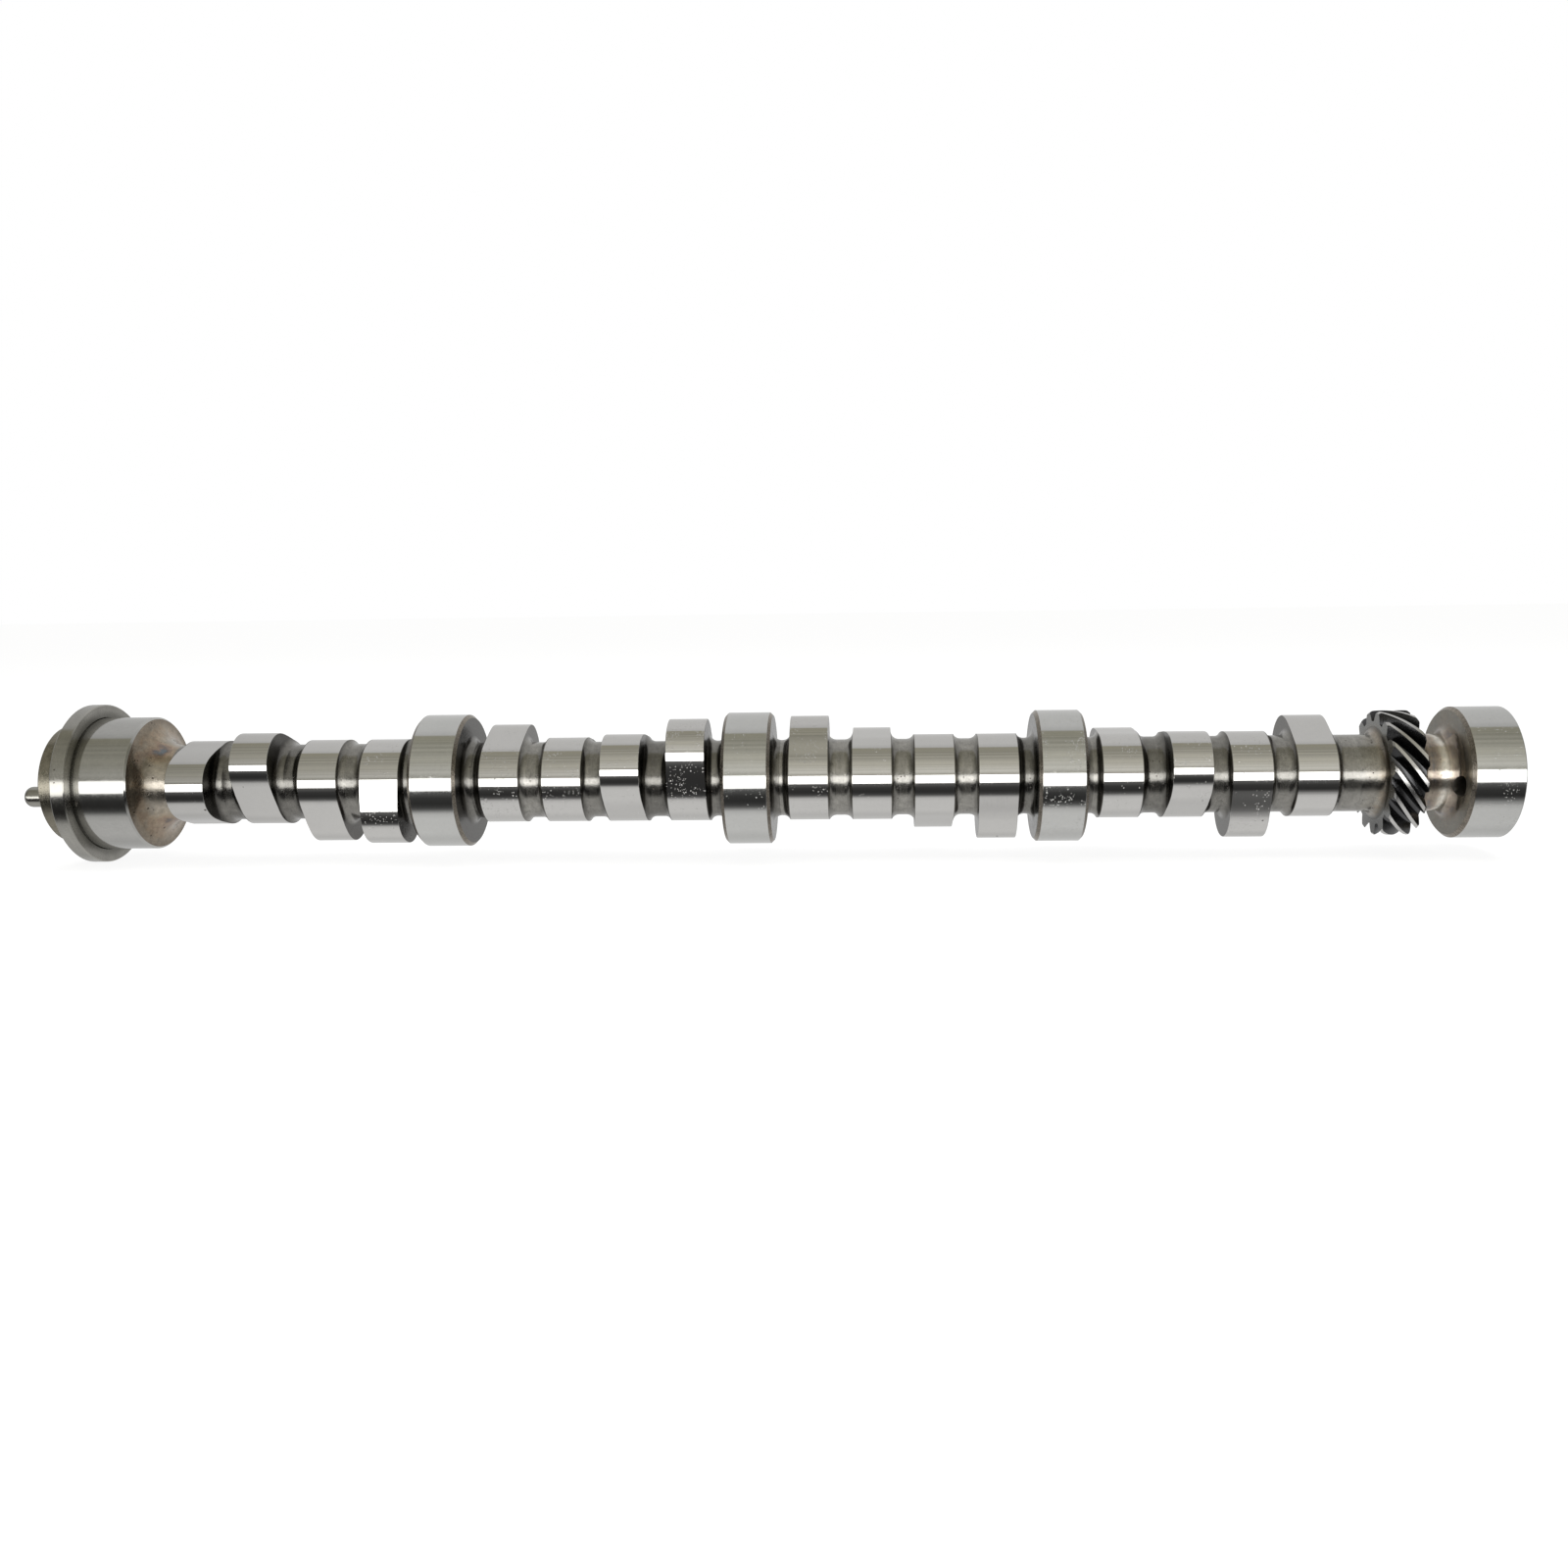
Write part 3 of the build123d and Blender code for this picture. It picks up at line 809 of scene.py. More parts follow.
    def skin(self) -> Skin:
        """The turned skin with its heat tint, its polish at the thrust face and the oil hole."""
        skin = self.outline().refine(1.2).skin(POINTS_ROUND)
        rear = self.journal_width / 2.0
        blue = sum(bump_at(np.degrees(skin.a), angle, 20.0) for angle in self.blue_angles)
        brown = 0.08 + 0.40 * smooth(16.0, 19.5, skin.r)
        tint = brown + 0.87 * bump_at(skin.r, 15.7, 2.1) * blue
        skin.tint_and_shade = smooth(rear - 0.5, rear + 1.0, skin.x) * tint
        skin.oil_and_sheen = smooth(self.thrust_x + 4.0, self.thrust_x, skin.x)
        off_journal = 9.0 * (skin.r[:, 0] < self.journal_radius - 0.01)
        ring = int(np.argmin(np.abs(skin.x[:, 0] - self.oil_hole_x) + off_journal))
        sink(skin, DrilledHole(ring, self.oil_hole_angle, 2, 3, self.oil_hole_along, self.oil_hole_across,
                               self.oil_hole_depth))
        return skin

    def build(self, finishes: dict[Zone, bpy.types.Material]) -> bpy.types.Object:
        """Builds the front end as one piece."""
        patch = Patch()
        first = patch.add_skin(self.skin(), cap_front=False)
        mouths = self.add_face(patch, np.arange(first, first + POINTS_ROUND))
        for (rings, centre, count), mouth in zip(self.sockets(), mouths):
            self.add_socket(patch, rings, centre, count, mouth)
        return patch.build(self.name, finishes)


@dataclass
class BoltThread:
    """Coarse thread in the bolt's bore, as a sleeve whose inner wall follows the thread's form.

    The wall's radius is the crest radius plus the depth times a rounded triangle wave along the helix.
    """

    name: str = "bolt_thread"
    start: float = -25.45 + 1.2
    length: float = 27.5
    crest_radius: float = 4.65
    depth: float = 0.9
    pitch: float = INCH / 14.0
    back: float = 0.04
    rings_per_pitch: int = 10
    points_round: int = 96

    def build(self, finishes: dict[Zone, bpy.types.Material]) -> bpy.types.Object:
        """Builds the thread as one piece."""
        count = self.points_round
        rings = int(self.length / self.pitch * self.rings_per_pitch)
        x = np.linspace(self.start, self.start + self.length, rings)[:, None] * np.ones((1, count))
        a = np.ones_like(x) * ring_angles(count)[None, :]
        phase = (x / self.pitch - a / (2.0 * math.pi)) % 1.0
        wave = np.clip(np.abs(phase - 0.5) * 2.4 - 0.15, 0.0, 1.0)
        run_in = smooth(self.start, self.start + self.pitch, x)
        r = self.crest_radius + self.depth * (1.0 - run_in * (1.0 - wave))
        slope = np.gradient(r, axis=0) / np.gradient(x, axis=0)
        none = np.zeros_like(x)
        inner = Skin(x, r, a, none - 1.0, -slope, [Zone.BORE] * (rings - 1), none, none)
        patch = Patch()
        first = patch.add_points(skin_points(inner), skin_normals(inner))
        patch.add_faces(ring_quads(first + np.arange(rings) * count, count, inward=True), Zone.BORE)
        back_r = np.full((2, count), self.crest_radius + self.depth + self.back)
        back = Skin(x[[0, -1]], back_r, a[:2], none[:2] + 1.0, none[:2], [Zone.BORE], none[:2], none[:2])
        second = patch.add_skin(back, cap_front=False, cap_rear=False)
        front = ring_quads(np.array([first, second]), count)
        last = first + (rings - 1) * count
        rear = ring_quads(np.array([last, second + count]), count, inward=True)
        patch.add_faces(np.concatenate([front, rear]), Zone.BORE)
        return patch.build(self.name, finishes)


def sink(skin: Skin, hole: DrilledHole) -> None:
    """Sinks a blind hole into a skin, in place.

    Grid squares count outwards from the hole's centre. A square's corner has a direction w round the centre
    and a share s of the window's size. Outside half of the window the corner lies between the outline's
    point in that direction and its own old place. Inside it lies on the wall at a depth that grows as s
    falls, and the innermost squares close the floor.

    Args:
        skin: the surface, changed in place.
        hole: where the hole is and how large.
    """
    count = skin.a.shape[1]
    step = 2.0 * math.pi / count
    middle = int(round(math.radians(hole.angle) / step))
    rows = np.arange(hole.ring - hole.half_rings * 2, hole.ring + hole.half_rings * 2 + 1)
    columns = np.arange(middle - hole.half_points * 2, middle + hole.half_points * 2 + 1)
    cols = columns % count
    grid = np.ix_(rows, cols)
    lengths = np.concatenate([[0.0], np.cumsum(np.hypot(np.diff(skin.x[rows, 0]), np.diff(skin.r[rows, 0])))])
    u = lengths - lengths[hole.half_rings * 2]
    reach = float(skin.r[hole.ring, middle % count])
    v = (columns * step - math.radians(hole.angle)) * reach
    gu = (rows - hole.ring)[:, None] / (hole.half_rings * 2.0) * np.ones((1, len(cols)))
    gv = (columns - middle)[None, :] / (hole.half_points * 2.0) * np.ones((len(rows), 1))
    share = np.maximum(np.abs(gu), np.abs(gv))
    w = np.arctan2(gv, gu)
    ou, ov = hole.along * np.cos(w), hole.across * np.sin(w)
    outer = np.clip((share - 0.5) / 0.5, 0.0, 1.0)
    inner = np.clip(share / 0.5, 0.0, 1.0)
    shrink = np.where(share < 0.5, smooth(0.0, 0.45, share), 1.0)
    nu = np.where(share >= 0.5, ou * (1 - outer) + u[:, None] * outer, ou * shrink)
    nv = np.where(share >= 0.5, ov * (1 - outer) + v[None, :] * outer, ov * shrink)
    new_x = np.interp(nu, u, skin.x[rows, 0])
    new_r = np.interp(nu, u, skin.r[rows, 0])
    down = hole.depth * smooth(1.0, 0.55, inner)
    skin.x[grid] = new_x + down * math.tan(math.radians(hole.lean))
    skin.r[grid] = new_r - down
    a = (math.radians(hole.angle) + nv / reach) % (2.0 * math.pi)
    before_seam = np.where(a < 1.0, a + 2.0 * math.pi, a)
    after_seam = np.where(a > 5.0, a - 2.0 * math.pi, a)
    skin.a[grid] = np.where(cols[None, :] > count / 2, before_seam, after_seam)
    skin.tx[grid] = np.interp(nu, u, skin.tx[rows, 0])
    skin.tr[grid] = np.interp(nu, u, skin.tr[rows, 0])
    wall = np.zeros(skin.x.shape, bool)
    wall[grid] = share < 0.5 - 1e-6
    skin.holes.append(wall)


@dataclass
class HelicalGear:
    """Crossed helical gear that drives the distributor, with the necks at its sides.

    A tooth's flank is an involute: its half angle at radius r is the pitch half angle plus inv(pressure)
    less inv(arccos(base / r)). The whole outline turns by a full turn in each lead.
    """

    name: str = "distributor_gear"
    start: float = 470.0
    end: float = 497.5
    front: float = 480.85
    width: float = 12.5
    teeth: int = 15
    normal_module: float = 1.807
    helix: float = 51.6
    pressure: float = 20.0
    phase: float = 26.2
    phase_offset: float = 1.0
    root_clearance: float = 0.25
    backlash: float = 0.25
    side_fillet: float = 3.2
    tip_chamfer: float = 0.7
    flank_points: int = 7
    rings: int = 40
    tip_break: float = 0.12
    ledge: float = 0.05
    sharp_angle: float = 32.0

    @property
    def pitch_radius(self) -> float:
        """Pitch radius from the teeth, the normal module and the helix."""
        return self.teeth * self.normal_module / math.cos(math.radians(self.helix)) / 2.0

    @property
    def tip_radius(self) -> float:
        """Radius of the teeth's lands."""
        return self.pitch_radius + self.normal_module

    @property
    def root_radius(self) -> float:
        """Radius of the gaps' floors."""
        return self.pitch_radius - (1.0 + self.root_clearance) * self.normal_module

    @property
    def twist(self) -> float:
        """Turn in radians for each millimetre along the shaft: a right-handed helix of one turn a lead."""
        return -math.tan(math.radians(self.helix)) / self.pitch_radius

    def tooth_half_angle(self, r: np.ndarray) -> np.ndarray:
        """Half of a tooth's angle in radians at each radius."""
        transverse = math.atan(math.tan(math.radians(self.pressure)) / math.cos(math.radians(self.helix)))
        base = self.pitch_radius * math.cos(transverse)
        w = np.arccos(np.clip(base / r, -1.0, 1.0))
        pitch_half = math.pi / 2.0 / self.teeth - self.backlash / 2.0 / self.pitch_radius
        return pitch_half + (math.tan(transverse) - transverse) - (np.tan(w) - w)

    def tooth_outline(self) -> tuple[np.ndarray, np.ndarray, np.ndarray]:
        """Outline of one tooth and half of each gap beside it.

        Returns:
            Angles from the tooth's middle, radii, and 1 where the point is on the land and 0 elsewhere.
        """
        step = 2.0 * math.pi / self.teeth
        r = np.linspace(self.root_radius, self.tip_radius - self.tip_break, self.flank_points)
        up = self.tooth_half_angle(r)
        root_edge = float(up[0])
        tip_edge = float(up[-1]) - self.tip_break / self.tip_radius
        gap = np.array([0.35, 0.12]) * (step / 2.0 - root_edge) + root_edge
        land = np.linspace(-tip_edge, tip_edge, 5)
        root, above = self.root_radius, self.root_radius + self.ledge
        angle = np.concatenate([[-step / 2.0 * 0.999], -gap, -up, land, up[::-1], gap[::-1]])
        radius = np.concatenate([[root, root, above], r, np.full(5, self.tip_radius), r[::-1], [above, root]])
        on_land = np.concatenate([np.zeros(3 + len(r)), np.ones(5), np.zeros(len(r) + 2)])
        return angle, radius, on_land

    def outline(self) -> tuple[np.ndarray, np.ndarray, np.ndarray]:
        """Outline of all teeth, one after the other round the shaft."""
        angle, radius, on_land = self.tooth_outline()
        turn = np.arange(self.teeth)[:, None] * (2.0 * math.pi / self.teeth)
        return (turn + angle[None, :]).ravel(), np.tile(radius, self.teeth), np.tile(on_land, self.teeth)

    def build(self, finishes: dict[Zone, bpy.types.Material]) -> bpy.types.Object:
        """Builds the gear and its necks as one piece."""
        angle, radius, land = self.outline()
        middle = math.radians(self.phase) + math.pi / self.teeth
        rear = self.front + self.width
        foot = NECK.radius + self.side_fillet
        ones = np.ones_like(angle)
        low_root, high_foot = self.root_radius - self.ledge, foot + self.ledge
        fillet = [(self.side_fillet * (1.0 - math.sin(w)), foot - self.side_fillet * math.cos(w), Zone.SIDE)
                  for w in np.radians(np.linspace(0.0, 90.0, 9))]
        rings: list[tuple] = [(x, NECK.radius, Zone.TURNED) for x in (self.start, self.start + 2.0)]
        rings += [(self.front - away, r, zone) for away, r, zone in fillet]
        rings += [(self.front, high_foot, Zone.GEAR_FACE), (self.front, low_root, Zone.GEAR_FACE)]
        for x in np.linspace(self.front, rear, self.rings):
            limit = self.tip_radius - max(0.0, self.tip_chamfer - min(x - self.front, rear - x))
            zone = Zone.GEAR_FLANK if x > self.front else Zone.GEAR_FACE
            rings.append((x, np.minimum(radius, limit), zone))
        rings += [(rear, low_root, Zone.GEAR_FACE), (rear, high_foot, Zone.GEAR_FACE)]
        rings += [(rear + away, r, zone) for away, r, zone in reversed(fillet)]
        rings.append((self.end, NECK.radius, Zone.TURNED))

        x, r = (np.array([ring[i] * ones for ring in rings]) for i in range(2))
        a = middle + angle[None, :] + self.twist * (np.clip(x, self.front, rear) - rear - self.phase_offset)
        # Painted shade: the gear's face and front fillet are made darker on their lower side.
        low = bump_at(np.degrees(a) % 360.0, 285.0, 32.0)
        tint_and_shade = 0.45 * bump_at(x, self.front - 0.5, 3.0) * smooth(19.0, 16.5, r)
        tint_and_shade += 0.6 * smooth(rear - 0.5, rear + 1.0, x)
        tint_and_shade -= 0.75 * low * smooth(16.0, 17.5, r) * (x < self.front + 0.01)
        count = len(angle)
        patch = Patch()
        first = patch.add_points(around(x, r, a), np.zeros(3), tint_and_shade)
        on_land = (land > 0.5) & (np.roll(land, -1) > 0.5)
        zones = np.array([ZONE_NUMBER[ring[2]] for ring in rings[1:]])[:, None] * np.ones((1, count), int)
        zones[(zones == ZONE_NUMBER[Zone.GEAR_FLANK]) & on_land] = ZONE_NUMBER[Zone.GEAR_LAND]
        patch.add_faces(ring_quads(first + np.arange(len(rings)) * count, count), zones.ravel())
        patch.add_cap(first, count, self.start, -1.0, Zone.TURNED)
        patch.add_cap(first + (len(rings) - 1) * count, count, self.end, 1.0, Zone.TURNED)
        return patch.build(self.name, finishes, sharp=self.sharp_angle)


@dataclass
class RearEnd:
    """Neck, dish and rear journal, with the oval port in the neck and the drilled centre in the rear face."""

    name: str = "rear_end"
    start: float = 497.5
    face_x: float = 507.95
    rear_x: float = 527.15
    radius: float = 2.0357 * INCH / 2.0 - 4 * 0.010 * INCH
    chamfer: float = 1.2
    ground_edge: float = 0.4
    dish_fillet: float = 4.0
    port_bend: float = 56.5
    port_angle: float = -12.0
    port_along: float = 3.0
    port_across: float = 4.0
    port_depth: float = 11.0
    port_lean: float = 45.0
    centre_radius: float = 4.0
    mouth_radius: float = 6.5
    mouth_angle: float = 30.0
    centre_depth: float = 16.0
    sheen_ring_before: float = 5.6
    oil: float = 0.6

    def build(self, finishes: dict[Zone, bpy.types.Material]) -> bpy.types.Object:
        """Builds the rear end as one piece."""
        foot = NECK.radius + self.dish_fillet
        out = Profile()
        for x in np.linspace(self.start, self.face_x - self.dish_fillet, 13):
            out.put(float(x), NECK.radius, 1.0, 0.0, Zone.TURNED)
        out.arc((self.face_x - self.dish_fillet, foot), self.dish_fillet, -90.0, 0.0, 16, Zone.TURNED)
        port_x = self.face_x - self.dish_fillet * (1.0 - math.sin(math.radians(self.port_bend)))
        near_port = int(np.argmin(np.abs(np.array(out.x) - port_x)))
        mouth = (self.mouth_radius - self.centre_radius) / math.tan(math.radians(self.mouth_angle))
        inner = self.rear_x - self.centre_depth
        out.corners([
            *(Corner(self.face_x, foot + i * 0.35, 0.0, Zone.FACE) for i in range(8)),
            Corner(self.face_x, self.radius - self.chamfer, 0.15, Zone.FACE),
            Corner(self.face_x + self.chamfer, self.radius, 0.25, Zone.CHAMFER),
            Corner(self.rear_x - self.ground_edge, self.radius, 0.15, Zone.GROUND_JOURNAL),
            Corner(self.rear_x, self.radius - self.ground_edge, 0.12, Zone.GROUND_JOURNAL),
            Corner(self.rear_x, self.mouth_radius, 0.15, Zone.FLANGE),
            Corner(self.rear_x - mouth, self.centre_radius, 0.3, Zone.BORE),
            Corner(inner, self.centre_radius, 0.2, Zone.BORE),
            Corner(inner - 1.2, 0.05, 0.0, Zone.BORE),
        ])
        skin = out.refine(1.5).skin(POINTS_ROUND)
        # A ring on the neck before the dish is painted brighter and less tinted: a painted highlight ring.
        sheen_ring_x = self.face_x - self.sheen_ring_before
        tint = 0.52 + 0.2 * smooth(21.0, 15.5, skin.r)
        skin.tint_and_shade = smooth(self.face_x + 1.4, self.face_x - 1.0, skin.x) * tint
        skin.tint_and_shade *= 1.0 - 0.7 * bump_at(skin.x, sheen_ring_x, 2.2)
        skin.oil_and_sheen = self.oil * (np.abs(skin.r - self.radius) < 0.1)
        skin.oil_and_sheen += bump_at(skin.x, sheen_ring_x, 1.7) * (skin.r < 18.0)
        sink(skin, DrilledHole(near_port, self.port_angle, 6, 20, self.port_along, self.port_across,
                               self.port_depth, self.port_lean))
        patch = Patch()
        patch.add_skin(skin)
        return patch.build(self.name, finishes)


@dataclass
class DowelPin:
    """Ground pin that turns the sprocket with the shaft, with a rounded outer end."""

    name: str = "sprocket_dowel_pin"
    front_x: float = -25.45
    angle: float = -16.2
    pitch_radius: float = 0.5 * INCH
    radius: float = 5.0 / 32.0 * INCH
    stand_out: float = 10.7
    nose: float = 2.6
    seat: float = 13.3
    seat_chamfer: float = 0.4

    def build(self, finishes: dict[Zone, bpy.types.Material]) -> bpy.types.Object:
        """Builds the pin as one piece, first round the shaft's axis and then moved out to its hole."""
        tip = self.front_x - self.stand_out
        end = self.front_x + self.seat
        flat = self.radius - self.nose
        out = Profile()
        out.put(tip, 0.02, 0.0, 1.0, Zone.PIN)
        out.put(tip, flat, 0.0, 1.0, Zone.PIN)
        out.arc((tip + self.nose, flat), self.nose, 180.0, 90.0, 10, Zone.PIN)
        out.corners([
            Corner(tip + self.nose, self.radius),
            Corner(end - self.seat_chamfer, self.radius, 0.1, Zone.PIN),
            Corner(end, self.radius - self.seat_chamfer, 0.1, Zone.PIN),
            Corner(end, 0.02, 0.0, Zone.PIN),
        ])
        skin = out.refine(1.5).skin(96)
        patch = Patch()
        patch.add_skin(skin)
        hole = math.radians(self.angle)
        shift = np.array([0.0, -self.pitch_radius * math.cos(hole), self.pitch_radius * math.sin(hole)])
        patch.points = [p + shift for p in patch.points]
        return patch.build(self.name, finishes, PIN_SLOT, "dowel_pin")


# ------------------------------------------------------------------------------------------------ finishes


class Nodes:
    """Short hand for building a node tree."""

    def __init__(self, tree: bpy.types.NodeTree) -> None:
        """Starts on a tree, which loses the nodes it has."""
        self.tree = tree
        tree.nodes.clear()

    def add(self, kind: str, settings: dict | None = None, **inputs: object) -> bpy.types.Node:
        """Adds a node.

        Args:
            kind: the node's type without the ShaderNode in front, or NodeGroupInput and the like in full.
            settings: properties of the node itself.
            inputs: values or sockets for its inputs, by name with _ for a space, or by number after an n.

        Returns:
            The node.
        """
        node = self.tree.nodes.new(kind if kind.startswith("Node") else "ShaderNode" + kind)
        for key, value in (settings or {}).items():
            setattr(node, key, value)
        for key, value in inputs.items():
            by_number = key[0] == "n" and key[1:].isdigit()
            socket = node.inputs[int(key[1:]) if by_number else key.replace("_", " ")]
            if isinstance(value, bpy.types.NodeSocket):
                self.tree.links.new(value, socket)
            else:
                socket.default_value = value
        return node

    def math(self, operation: str, a: object, b: object = 0.5, c: object = 0.5,
             clamp: bool = False) -> bpy.types.NodeSocket:
        """Adds a Math node and returns its output."""
        return self.add("Math", {"operation": operation, "use_clamp": clamp}, n0=a, n1=b, n2=c).outputs[0]

    def times(self, a: object, b: object) -> bpy.types.NodeSocket:
        """Product of two values."""
        return self.math("MULTIPLY", a, b)

    def plus_times(self, total: object, value: object, amount: object) -> bpy.types.NodeSocket:
        """A total plus a value times its amount."""
        return self.math("MULTIPLY_ADD", value, amount, total)

    def centred(self, value: object) -> bpy.types.NodeSocket:
        """A value from 0 to 1 moved to lie from -0.5 to 0.5."""
        return self.math("SUBTRACT", value, 0.5)

    def grey(self, value: object) -> bpy.types.NodeSocket:
        """A grey of the value's level as a colour."""
        return self.add("CombineColor", n0=value, n1=value, n2=value).outputs[0]

    def attribute(self, name: str) -> bpy.types.NodeSocket:
        """Value of one of the mesh's attributes."""
        return self.add("Attribute", {"attribute_name": name}).outputs["Fac"]

    def spread(self, value: object, low: float, high: float, to_low: float = 0.0, to_high: float = 1.0,
               smooth_step: bool = True) -> bpy.types.NodeSocket:
        """Maps a value from one range to another, clamped, and returns the output."""
        kind = "SMOOTHSTEP" if smooth_step else "LINEAR"
        node = self.add("MapRange", {"interpolation_type": kind}, Value=value)
        for i, limit in enumerate((low, high, to_low, to_high)):
            node.inputs[i + 1].default_value = limit
        return node.outputs[0]

    def mix(self, factor: object, a: object, b: object, blend: str = "MIX") -> bpy.types.NodeSocket:
        """Mixes two colours and returns the output."""
        settings = {"data_type": "RGBA", "blend_type": blend, "clamp_factor": True}
        return self.add("Mix", settings, n0=factor, n6=a, n7=b).outputs[2]


class Group:
    """A shader node group with named inputs and outputs."""

    def __init__(self, name: str, inputs: dict[str, tuple[str, object]], outputs: dict[str, str]) -> None:
        """Makes the group's tree and sockets.

        Args:
            name: the group's name.
            inputs: kind (Float, Color or Vector) and default value of each input.
            outputs: kind of each output.
        """
        self.tree = bpy.data.node_groups.new(name, "ShaderNodeTree")
        self.nodes = Nodes(self.tree)
        sockets = self.tree.interface
        for label, (kind, value) in inputs.items():
            socket = sockets.new_socket(name=label, in_out="INPUT", socket_type="NodeSocket" + kind)
            socket.default_value = value
        for label, kind in outputs.items():
            sockets.new_socket(name=label, in_out="OUTPUT", socket_type="NodeSocket" + kind)
        self.source = self.nodes.add("NodeGroupInput")
        self.target = self.nodes.add("NodeGroupOutput")

    def give(self, label: str, socket: bpy.types.NodeSocket) -> None:
        """Links a socket to the output of that name."""
        self.tree.links.new(socket, self.target.inputs[label])


def white(value: float) -> tuple[float, float, float, float]:
    """A grey of the given level as a colour."""
    return (value, value, value, 1.0)


Rgb = tuple[float, float, float]
PIT_COLOUR = (0.05, 0.035, 0.025, 1.0)
PIT_SIZES = (0.07, 0.16)
DROP_SIZES = (0.22, 0.22)
OXIDE_STOPS: tuple[tuple[float, Rgb], ...] = (
    (0.0, (1.0, 1.0, 1.0)), (0.25, (1.0, 0.96, 0.89)), (0.48, (1.0, 0.87, 0.74)),
    (0.68, (0.86, 0.70, 0.61)), (0.85, (0.55, 0.51, 0.53)), (1.0, (0.46, 0.56, 0.70)),
)


class Effects:
    """The effects that the steel finishes share, each built once as a node group."""

    def __init__(self) -> None:
        """Builds the groups."""
        self.marks = self.turning_marks()
        self.mottle = self.mottling()
        self.pits = self.pitting()
        self.tint = self.heat_tint()
        self.specks = self.oil_specks()
        self.scratches = self.fine_scratches()

    @staticmethod
    def place(nodes: Nodes) -> tuple[bpy.types.NodeSocket, bpy.types.NodeSocket]:
        """Place on the shaft in millimetres, and the distance from its axis.

        Args:
            nodes: the tree to build in.

        Returns:
            The place as a vector and the distance as a value.
        """
        metres = nodes.add("TexCoord").outputs["Object"]
        place = nodes.add("VectorMath", {"operation": "SCALE"}, Scale=1.0 / MM, n0=metres)
        apart = nodes.add("SeparateXYZ", n0=place.outputs[0])
        y, z = apart.outputs[1], apart.outputs[2]
        return place.outputs[0], nodes.math("SQRT", nodes.math("ADD", nodes.times(y, y), nodes.times(z, z)))

    def turning_marks(self) -> bpy.types.NodeTree:
        """Rings that a tool leaves: noise that is fine along the shaft and outwards, and slow round it."""
        inputs = {"Fineness": ("Float", 3.0), "Waver": ("Float", 0.05)}
        group = Group("Turning Marks", inputs, {"Marks": "Float"})
        n = group.nodes
        place, out = self.place(n)
        apart = n.add("SeparateXYZ", n0=place)
        source = group.source.outputs
        across = n.times(n.math("ADD", apart.outputs[0], n.times(out, 1.37)), source["Fineness"])
        slow_y = n.times(apart.outputs[1], source["Waver"])
        slow_z = n.times(apart.outputs[2], source["Waver"])
        vector = n.add("CombineXYZ", n0=across, n1=slow_y, n2=slow_z).outputs[0]
        noise = n.add("TexNoise", Vector=vector, Scale=1.0, Detail=3.0, Roughness=0.6)
        group.give("Marks", noise.outputs["Fac"])
        return group.tree

    def mottling(self) -> bpy.types.NodeTree:
        """Uneven patches, large and small, as a coarse value and a fine one."""
        group = Group("Mottling", {"Size": ("Float", 4.0)}, {"Coarse": "Float", "Fine": "Float"})
        n = group.nodes
        place, _ = self.place(n)
        scale = n.math("DIVIDE", 1.0, group.source.outputs["Size"])
        coarse = n.add("TexNoise", Vector=place, Scale=scale, Detail=4.0, Roughness=0.62, Distortion=0.4)
        fine = n.add("TexNoise", Vector=place, Scale=n.times(scale, 7.0), Detail=3.0, Roughness=0.6)
        group.give("Coarse", coarse.outputs["Fac"])
        group.give("Fine", fine.outputs["Fac"])
        return group.tree

    def pitting(self) -> bpy.types.NodeTree:
        """Small round pits: near each chosen cell's point, 1 in the pit and 0 outside it."""
        group = Group("Pitting", {"Spacing": ("Float", 1.5), "Share": ("Float", 0.3)}, {"Mask": "Float"})
        n = group.nodes
        place, _ = self.place(n)
        scale = n.math("DIVIDE", 1.0, group.source.outputs["Spacing"])
        cells = n.add("TexVoronoi", {"feature": "F1"}, Vector=place, Scale=scale, Randomness=1.0)
        chance = n.add("SeparateColor", n0=cells.outputs["Color"])
        chosen = n.math("LESS_THAN", chance.outputs[0], group.source.outputs["Share"])
        least, more = PIT_SIZES
        size = n.plus_times(least, chance.outputs[1], more)
        depth = n.math("DIVIDE", n.math("SUBTRACT", size, cells.outputs["Distance"]), least, clamp=True)
        group.give("Mask", n.times(chosen, depth))
        return group.tree

    def heat_tint(self) -> bpy.types.NodeTree:
        """Oxide colours on heated steel, from bare through straw and brown to a pale blue."""
        inputs = {"Bare": ("Color", white(0.5)), "Heat": ("Float", 0.0), "Strength": ("Float", 1.0)}
        group = Group("Heat Tint", inputs, {"Color": "Color"})
        n = group.nodes
        source = group.source.outputs
        place, _ = self.place(n)
        patchy = n.add("TexNoise", Vector=place, Scale=0.22, Detail=3.0, Roughness=0.55, Distortion=0.6)
        uneven = n.spread(patchy.outputs["Fac"], 0.25, 0.75, 0.6, 1.3)
        ramp = n.add("ValToRGB", n0=n.times(source["Heat"], uneven))
        elements = ramp.color_ramp.elements
        for i, (at, colour) in enumerate(OXIDE_STOPS):
            stop = elements[i] if i < 2 else elements.new(at)
            stop.position, stop.color = at, (*colour, 1.0)
        tinted = n.mix(1.0, source["Bare"], ramp.outputs["Color"], "MULTIPLY")
        group.give("Color", n.mix(source["Strength"], source["Bare"], tinted))
        return group.tree

